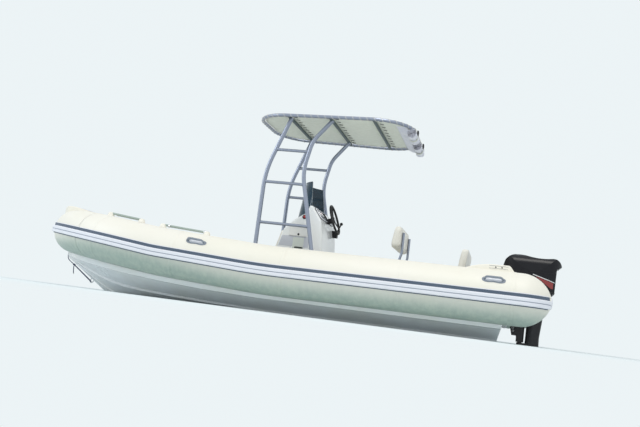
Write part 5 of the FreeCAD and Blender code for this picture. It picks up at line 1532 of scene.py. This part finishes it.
corners = ((0, -DASH_HIGH), (DASH_HALF, -DASH_HIGH), (DASH_HALF, DASH_HIGH), (-DASH_HALF, DASH_HIGH),
           (-DASH_HALF, -DASH_HIGH), (0, -DASH_HIGH))
trim_line = rounded([on_dash(port, up, -0.002) for port, up in corners], TRIM_BEND)
piece("dash_trim", tube(trim_line[:-1], TRIM_RADIUS, 8, loop=True, up=DASH_OUT), strake_rubber, "strake")
bezels, dials, needles, ticks = Shape(), Shape(), Shape(), []
for number, (port, up, radius) in enumerate(GAUGES):
    centre = on_dash(port, up)
    bezels.join(ring_bead(centre + DASH_OUT * 0.003, DASH_OUT, radius, 0.0042, 32))
    dial = [(radius - 0.001, -0.002), (radius - 0.001, 0.0022), (0.004, 0.0024)]
    dials.join(lathe(dial, 32, DASH_OUT, centre))
    swing = math.radians(FIRST_SWING + SWING_STEP * number)
    tip = DASH_UP * math.cos(swing) + PORT * math.sin(swing)
    pivot = centre + DASH_OUT * 0.0042
    needles.join(tube([pivot - tip * 0.006, pivot + tip * (radius - 0.012)], 0.0012, 6, up=DASH_OUT))
    spots = [centre + DASH_OUT * 0.0026 + (DASH_UP * a + PORT * b) * (radius - 0.008)
             for a, b in circle(1.0, 60)]
    ticks.append((spots, DASH_OUT, TICKS, True))
piece("gauge_bezels", bezels, bright_steel, "stainless")
crisp(piece("gauge_faces", dials, gauge_white, "black"))
piece("gauge_needles", needles, red_plastic, "black")
tick = item_of("tick", block((-0.0005, 0.0005), (-0.0032, 0.0032), (0.0, 0.0007)), smooth=False)
repeated("gauge_ticks", ticks, tick, black_plastic, "black")
screen_case = dash_block((-0.215, -0.055), (-0.052, 0.060), (-0.001, 0.010))
crisp(piece("chart_screen_case", screen_case, black_plastic, "black", smooth=False))
screen = dash_block((-0.205, -0.065), (-0.042, 0.050), (0.0101, 0.0108))
piece("chart_screen_glass", screen, screen_glass, "black", smooth=False)
rocker = item_of("rocker", Shape().strip(ROCKER), smooth=False)
switch_line = [on_dash(port, SWITCH_UP) for port in SWITCH_ENDS]
repeated("dash_switches", [(switch_line, DASH_OUT, SWITCHES, False)], rocker, grey_rubber, "black")
screw_line = [on_dash(DASH_SCREW_PORT, up) for up in (-DASH_SCREW_UP, DASH_SCREW_UP)]
repeated("dash_screws", both_sides(screw_line, DASH_OUT, 2), screw_head, bright_steel, "stainless")

# %% [markdown]
# The wheel has finger bumps behind its rim and a steel cap on its hub. Both turn with it, so they ride on
# the wheel's body. The hub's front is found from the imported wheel: its furthest point along the shaft.
# Beside it, two pale lines mark the throttle's plate.

# %% Wheel and throttle
WHEEL, WHEEL_RIM, WHEEL_RAKE, HUB_REACH = Vector((-0.570, 0, 1.240)), 0.180, math.radians(20), 0.045
HUB_CAP = [(0.030, -0.002), (0.030, 0.003), (0.026, 0.006), (0.010, 0.008), (0.009, 0.010), (0.002, 0.011)]
BUMP, BUMPS, BUMP_BEHIND = [(0.0062, -0.002), (0.0062, 0.001), (0.0048, 0.0040), (0.0012, 0.0050)], 32, 0.0105
QUADRANT_X, QUADRANT_Y, QUADRANT_Z = -0.574, (-0.226, -0.304), (1.046, 1.124)
shaft = Vector((-math.cos(WHEEL_RAKE), 0, math.sin(WHEEL_RAKE)))
side_way = shaft.cross(PORT)
from_wheel = [v.co - WHEEL for v in nodes["steering_wheel"].data.vertices]
hub_front = max(p.dot(shaft) for p in from_wheel if (p - shaft * p.dot(shaft)).length < HUB_REACH)
cap = lathe(HUB_CAP, 28, shaft, WHEEL + shaft * hub_front)
crisp(piece("wheel_hub_cap", cap, bright_steel, "stainless", "steering_wheel"), 30)
rim = [WHEEL - shaft * BUMP_BEHIND + (PORT * a + side_way * b) * WHEEL_RIM for a, b in circle(1.0, 96)]
bump = item_of("bump", lathe(BUMP, 10))
repeated("wheel_rim_bumps", [(rim, -shaft, BUMPS, True)], bump, black_rubber, "black", "steering_wheel")
quadrant = [tube([Vector((QUADRANT_X, y, z)) for y in QUADRANT_Y], 0.0028, 6) for z in QUADRANT_Z]
piece("throttle_outline", Shape().join(*quadrant), strake_rubber, "strake")

# %% [markdown]
# The windscreen stands in a rubber bead on the console and is screwed through it. The bead's line is found
# step by step: a point on the screen's curve, the console's height under it, and again, until the two
# agree.

# %% Windscreen bead and screws
SCREEN_LOW, SCREEN_HIGH = (1.040, 0.392, -0.385, -0.085), (1.650, 0.300, -0.300, -0.160)
FOOT_GUESS, FOOT_TRIES, SCREW_ABOVE, SCREWS = 1.15, 12, 0.030, 14
on_console = caster("console_body")


def screen_point(turn, z):
    """A point on the screen's outside. Turn runs from -1 on the starboard edge to 1 on the port edge."""
    share = (z - SCREEN_LOW[0]) / (SCREEN_HIGH[0] - SCREEN_LOW[0])
    half, aft, front = (a + (b - a) * share for a, b in zip(SCREEN_LOW[1:], SCREEN_HIGH[1:]))
    deep = front - aft
    radius = (half ** 2 + deep ** 2) / (2 * deep)
    edge_angle = math.asin(half / radius)
    angle = turn * (math.pi - edge_angle if deep > radius else edge_angle)
    return Vector((front - radius + radius * math.cos(angle), radius * math.sin(angle), z))


def screen_foot(turn):
    z = FOOT_GUESS
    for _ in range(FOOT_TRIES):
        p = screen_point(turn, z)
        point, _ = on_console((p.x, p.y, 2.0), -UP)
        z = z * 0.4 + (point.z if point else z) * 0.6
    return screen_point(turn, z)


def turns(reach):
    """Places along the screen's curve, equally far to each side."""
    return [reach * (2 * share - 1) for share in shares(60)]


bead = tube([screen_foot(turn) + UP * 0.002 for turn in turns(0.97)], 0.0075, 8)
piece("windscreen_bead", bead, black_rubber, "black")
screw_line, screw_outs = [], []
for turn in turns(0.92):
    p = screen_point(turn, screen_foot(turn).z + SCREW_ABOVE)
    beside = screen_point(turn + 0.01, p.z) - screen_point(turn - 0.01, p.z)
    out = beside.cross(UP).normalized()
    screw_line.append(p + out * 0.0003)
    screw_outs.append(out)
windscreen_screws = [(screw_line, screw_outs, SCREWS, False)]
repeated("windscreen_screws", windscreen_screws, screw_head, bright_steel, "stainless")
top_edge = tube([screen_point(turn, SCREEN_HIGH[0]) - UP * 0.001 for turn in turns(0.99)], 0.0048, 8)
piece("windscreen_top_edge", top_edge, slate_rubber, "slate")

# %% [markdown]
# The console's sides are plain gelcoat with a grey band across them that is painted shade, a panel joint,
# a shallow recess with a pull in it and a latch on the hatch. The lights sit in small black rings. Each
# hinge of a lid or of the hatch is three short steel barrels on the hinge's line.

# %% Console sides, hinges and latches
CONSOLE_HALF = 0.400
# The first plate is a grey band of painted shade across the console's sides.
PLATES = (("console_band", band_painted_shade, -0.001, 0.0012,
           ((-0.372, 0.820), (0.000, 0.820), (-0.034, 0.948), (-0.372, 0.948))),
          ("console_joint", grey_rubber, -0.001, 0.0008,
           ((-0.1535, 0.150), (-0.1500, 0.150), (-0.1500, 0.820), (-0.1535, 0.820))),
          ("console_recess", recess_grey, 0.0, 0.0034,
           ((-0.312, 0.796), (-0.176, 0.796), (-0.176, 0.934), (-0.312, 0.934))))
PULL = ((-0.302, 0.403, 0.812), (-0.298, 0.416, 0.812), (-0.212, 0.416, 0.812), (-0.208, 0.403, 0.812))
LATCH = [(0.013, -0.002), (0.013, 0.0022), (0.010, 0.0037), (0.002, 0.0038)]
LID_HINGES = ((1.474, 0.510, 0.300), (0.568, 0.530, 0.180), (-1.684, 0.510, 0.420))
HATCH_HINGES = (-0.300, -0.160)
for name, finish, low, high, outline in PLATES:
    plate = [[Vector((x, CONSOLE_HALF + lift, z)) for x, z in outline] for lift in (low, high)]
    piece(name, Shape().strip(plate).mirror(), finish, "gelcoat", smooth=False)
pull = tube(rounded([Vector(p) for p in PULL], 0.012), 0.0075, 8)
piece("console_pulls", pull.mirror(), black_plastic, "black")
latch = lathe(LATCH, 20, PORT, Vector((-0.238, 0.4142, 0.972)))
latch.join(block((-0.250, -0.226), (0.4160, 0.4195), (0.9695, 0.9745)))
crisp(piece("hatch_latch", latch, black_plastic, "black", "console_hatch"))
light_ring = ring_bead(Vector((-0.282, 0.4015, 1.192)), PORT, 0.0235, 0.0040)
piece("side_light_rings", light_ring.mirror(), black_plastic, "black")
barrels = Shape()
for x, z, half in LID_HINGES:
    for side in SIDES:
        for number in range(3):
            start = Vector((x, side * half - 0.036 + number * 0.0245, z))
            barrels.join(tube([start, start + PORT * 0.0230], 0.0052))
for x in HATCH_HINGES:
    for number in range(3):
        start = Vector((x - 0.024 + number * 0.0165, 0.4025, 1.0765))
        barrels.join(tube([start, start + AHEAD * 0.0150], 0.0042))
crisp(piece("hinge_barrels", barrels, bright_steel, "stainless"))

# %% [markdown]
# Each leg of the frame stands on a round plate with four bolts, and every rung meets its leg in a small
# weld bead. The beads are plain rings laid where the tubes meet, so the frame reads as welded tube and not
# as crossing rods.

# %% Feet and welds
LEG_SIDE, LEG_RADIUS, RUNG_RADIUS, SOLE_TOP = 0.550, 0.025, 0.018, 0.140
FEET, BOLT_CIRCLE = (0.243, -0.620), circle(0.041, 40, 0.8)
RUNGS = ((1.060, 0.218, -0.364), (1.560, 0.218, -0.240), (1.966, 0.122, -0.248))
LEG_TOPS = ((0.010, 2.346, Vector((-0.243, 0, 0.685))), (-0.500, 2.356, Vector((-0.215, 0, 0.275))))
BOLT = [(0.0080, -0.001), (0.0080, 0.0048), (0.0070, 0.0058), (0.0020, 0.0060)]
welds, bolts = Shape(), []
for side in SIDES:
    for x in FEET:
        foot = Vector((x, side * LEG_SIDE, SOLE_TOP))
        bolts.append(([foot + AHEAD * a + PORT * b for a, b in BOLT_CIRCLE], UP, 4, True))
        welds.join(ring_bead(foot + UP * 0.002, UP, LEG_RADIUS + 0.001, 0.0034))
    for z, *ends in RUNGS:
        for x in ends:
            welds.join(ring_bead(Vector((x, side * LEG_SIDE, z)), AHEAD, RUNG_RADIUS + 0.0008, 0.0034))
    for x, z, way in LEG_TOPS:
        top = Vector((x, side * LEG_SIDE, z))
        welds.join(ring_bead(top, way.normalized(), LEG_RADIUS + 0.0008, 0.0036))
piece("frame_welds", welds, satin_tube, "stainless")
bolt = item_of("bolt", lathe(BOLT, 6), smooth=False)
repeated("foot_bolts", bolts, bolt, bright_steel, "stainless")

# %% [markdown]
# The motor's cowl is a glossy moulded cover. A rubber seal runs round its foot, the air comes in between
# ribs at its back, and low down aft it is painted plain red under a thin white line. The paint is a skin
# laid on the cowl: a grid of points is sent at the cowl from the side, and each point stays where its ray
# lands.

# %% Cowl
COWL_MIDDLE, COWL_REACH = Vector((-2.990, 0, 0)), 1.2
COWL_PAINT = (("cowl_red_paint", red_paint, 0.0010,
               ((-3.040, 0.798), (-3.244, 0.738), (-3.244, 0.672), (-3.222, 0.672))),
              ("cowl_white_line", white_paint, 0.0014,
               ((-3.010, 0.822), (-3.258, 0.749), (-3.258, 0.741), (-3.010, 0.812))))
COWL_BEADS = (("cowl_seal", black_rubber, 0.628, 0.0052, 8), ("cowl_seam", black_plastic, 0.845, 0.0022, 6))
LOUVRES, LOUVRE_Z, LOUVRE_STEP, LOUVRE_HALF, LOUVRE_RADIUS, LOUVRE_LEAST = 5, 0.850, 0.017, 0.085, 0.0045, 5
on_cowl = caster("cowl")


def laid_skin(corners, side, lift):
    """A four-cornered patch of paint on the cowl's side, from (x, z) corners."""
    a, b, c, d = (Vector((x, side, z)) for x, z in corners)
    rows = []
    for down in shares(10):
        starts = [a.lerp(b, along).lerp(d.lerp(c, along), down) for along in shares(14)]
        rows.append(landed(on_cowl, starts, PORT * -side, lift))
    return Shape().strip(rows, closed=False)


for name, finish, lift, corners in COWL_PAINT:
    skins = [laid_skin(corners, side, lift) for side in SIDES]
    piece(name, Shape().join(*skins), finish, "engine_black", "outboard")
for name, finish, z, radius, sides in COWL_BEADS:
    points = []
    for a, b in circle(1.0, 72):
        way = Vector((a, b, 0))
        points += landed(on_cowl, [COWL_MIDDLE + way * COWL_REACH + UP * z], -way, 0.0005)
    piece(name, tube(points, radius, sides, loop=True), finish, "engine_black", "outboard")
louvres = Shape()
for row in range(LOUVRES):
    z = LOUVRE_Z + row * LOUVRE_STEP
    points = landed(on_cowl, [(-4.0, LOUVRE_HALF * (2 * share - 1), z) for share in shares(14)], AHEAD, 0.001)
    if len(points) >= LOUVRE_LEAST:
        louvres.join(tube(points, LOUVRE_RADIUS, 6))
piece("cowl_louvres", louvres, motor_paint, "engine_black", "outboard")

# %% [markdown]
# The rest of the motor is plain castings, told by their small parts: slotted water inlets in the gearcase,
# a nut and a ring on the propeller's hub, and a row of tilt-pin holes in the clamp bracket.

# %% Leg, propeller and bracket
INLETS, INLET_ENDS, INLET_Z, INLET_DOWN, INLET_AFT = 4, (-2.960, -2.925), -0.405, 0.012, 0.006
PIN_HOLES, PIN_X, PIN_Z, PIN_AHEAD, PIN_UP = 5, -2.850, 0.150, 0.006, 0.034
PROPELLER_NUT = [(0.016, 0.004), (0.016, -0.010), (0.010, -0.013), (0.008, -0.016), (0.002, -0.016)]
on_gearcase, on_clamp = caster("gearcase"), caster("clamp_bracket")
inlets, holes = [], Shape()
for side in SIDES:
    for row in range(INLETS):
        spots, outs = zip(*(on_gearcase((x - row * INLET_AFT, side, INLET_Z - row * INLET_DOWN), PORT * -side)
                            for x in INLET_ENDS))
        inlets.append((spots, list(outs), 2, False))
    starts = [(PIN_X + i * PIN_AHEAD, side, PIN_Z + i * PIN_UP) for i in range(PIN_HOLES)]
    for p in landed(on_clamp, starts, PORT * -side, 0.0006):
        holes.join(ring_bead(p, PORT, 0.0095, 0.0022, 16))
inlet_rings = [[Vector((x, b * 0.0030, c * 0.0012)) for b, c in circle(1.0, 8)]
               for x in (-0.014, -0.010, 0.010, 0.014)]
inlet = item_of("inlet", Shape().strip(inlet_rings))
repeated("water_inlets", inlets, inlet, black_plastic, "engine_black", "outboard")
low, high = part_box("propeller")
shaft_z = (low.z + high.z) / 2
nut = lathe(PROPELLER_NUT, 6, AHEAD, Vector((low.x, 0, shaft_z)))
crisp(piece("propeller_nut", nut, bright_steel, "propeller", "propeller"))
hub_ring = ring_bead(Vector((high.x - 0.012, 0, shaft_z)), AHEAD, 0.046, 0.004, 32)
piece("propeller_hub_ring", hub_ring, bright_steel, "propeller", "propeller")
piece("tilt_pin_holes", holes, zinc, "engine_metal")
print("motor details done")

# %% [markdown]
# The studio is a pale floor at the waterline, a pale surround, one broad soft lamp high on the sunny side
# and a weaker one ahead. The surround is the floor's colour for the camera, for gloss and through the
# windscreen, and a little dimmer as a light.

# %% Floor, surround and lamps
PALE, FAR, AMBIENT = (0.80, 0.86, 0.87), (0.84, 0.90, 0.92), (0.86, 0.93, 1.0)
AMBIENT_STRENGTH, FLOOR_RADIUS, FADE_FROM, FADE_TO = 0.60, 60.0, 3.4, 7.5


def studio_floor():
    """A pale floor that keeps the shadow near the boat and fades into the surround further out."""
    finish = Finish("studio_floor", PALE, 0.9, Specular_IOR_Level=0.1)
    finish.put(Base_Color=finish.blend(finish.noise(0.4, 2.0) * 0.3, PALE, dimmed(PALE, 0.97)))
    x, y, z = finish.axes()
    away = (x * x + y * y) ** 0.5
    glow = finish.node("ShaderNodeEmission", None, (*FAR, 1.0), 1.0)
    near = Field(finish, finish.shader.outputs[0])
    either = finish.node("ShaderNodeMixShader", None, away.between(FADE_FROM, FADE_TO), near, glow)
    finish.feed(finish.nodes["Material Output"].inputs[0], either)
    return finish


bpy.ops.mesh.primitive_circle_add(vertices=96, radius=FLOOR_RADIUS, fill_type="NGON", location=(0, 0, 0))
floor = bpy.context.object
floor.name = "studio_floor"
floor.data.materials.append(studio_floor().material)
floor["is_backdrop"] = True

world = bpy.data.worlds.new("surround")
scene.world = world
world.use_nodes = True
sky, sky_links = world.node_tree.nodes, world.node_tree.links
sky.clear()
rays = sky.new("ShaderNodeLightPath").outputs
seen = rays["Is Camera Ray"]
for name in ("Is Transmission Ray", "Is Glossy Ray"):
    either = sky.new("ShaderNodeMath")
    either.operation = "MAXIMUM"
    sky_links.new(seen, either.inputs[0])
    sky_links.new(rays[name], either.inputs[1])
    seen = either.outputs[0]
pick = sky.new("ShaderNodeMixShader")
sky_links.new(seen, pick.inputs[0])
for socket, colour, strength in ((pick.inputs[1], AMBIENT, AMBIENT_STRENGTH), (pick.inputs[2], FAR, 1.0)):
    glow = sky.new("ShaderNodeBackground")
    glow.inputs[0].default_value = (*colour, 1.0)
    glow.inputs[1].default_value = strength
    sky_links.new(glow.outputs[0], socket)
sky_links.new(pick.outputs[0], sky.new("ShaderNodeOutputWorld").inputs[0])


def lamp(name, place, aim, size, power, colour):
    light = bpy.data.lights.new(name, "AREA")
    light.shape, light.size, light.energy, light.color = "DISK", size, power, colour
    shown(name, light).matrix_world = aimed(place, aim)


lamp("high_lamp", (-3.0, 5.5, 9.5), (0, 0, 0.6), 5.0, 520.0, (1.0, 0.97, 0.92))
lamp("bow_lamp", (8.0, 3.5, 5.0), (0.5, 0, 0.8), 4.0, 190.0, (0.94, 0.97, 1.0))

# %% Sizes and finish
size = {"cad": [[float(c) for c in corner] for corner in cad_box],
        "visual": [[float(c) for c in corner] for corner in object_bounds()]}
print("sizes", size)
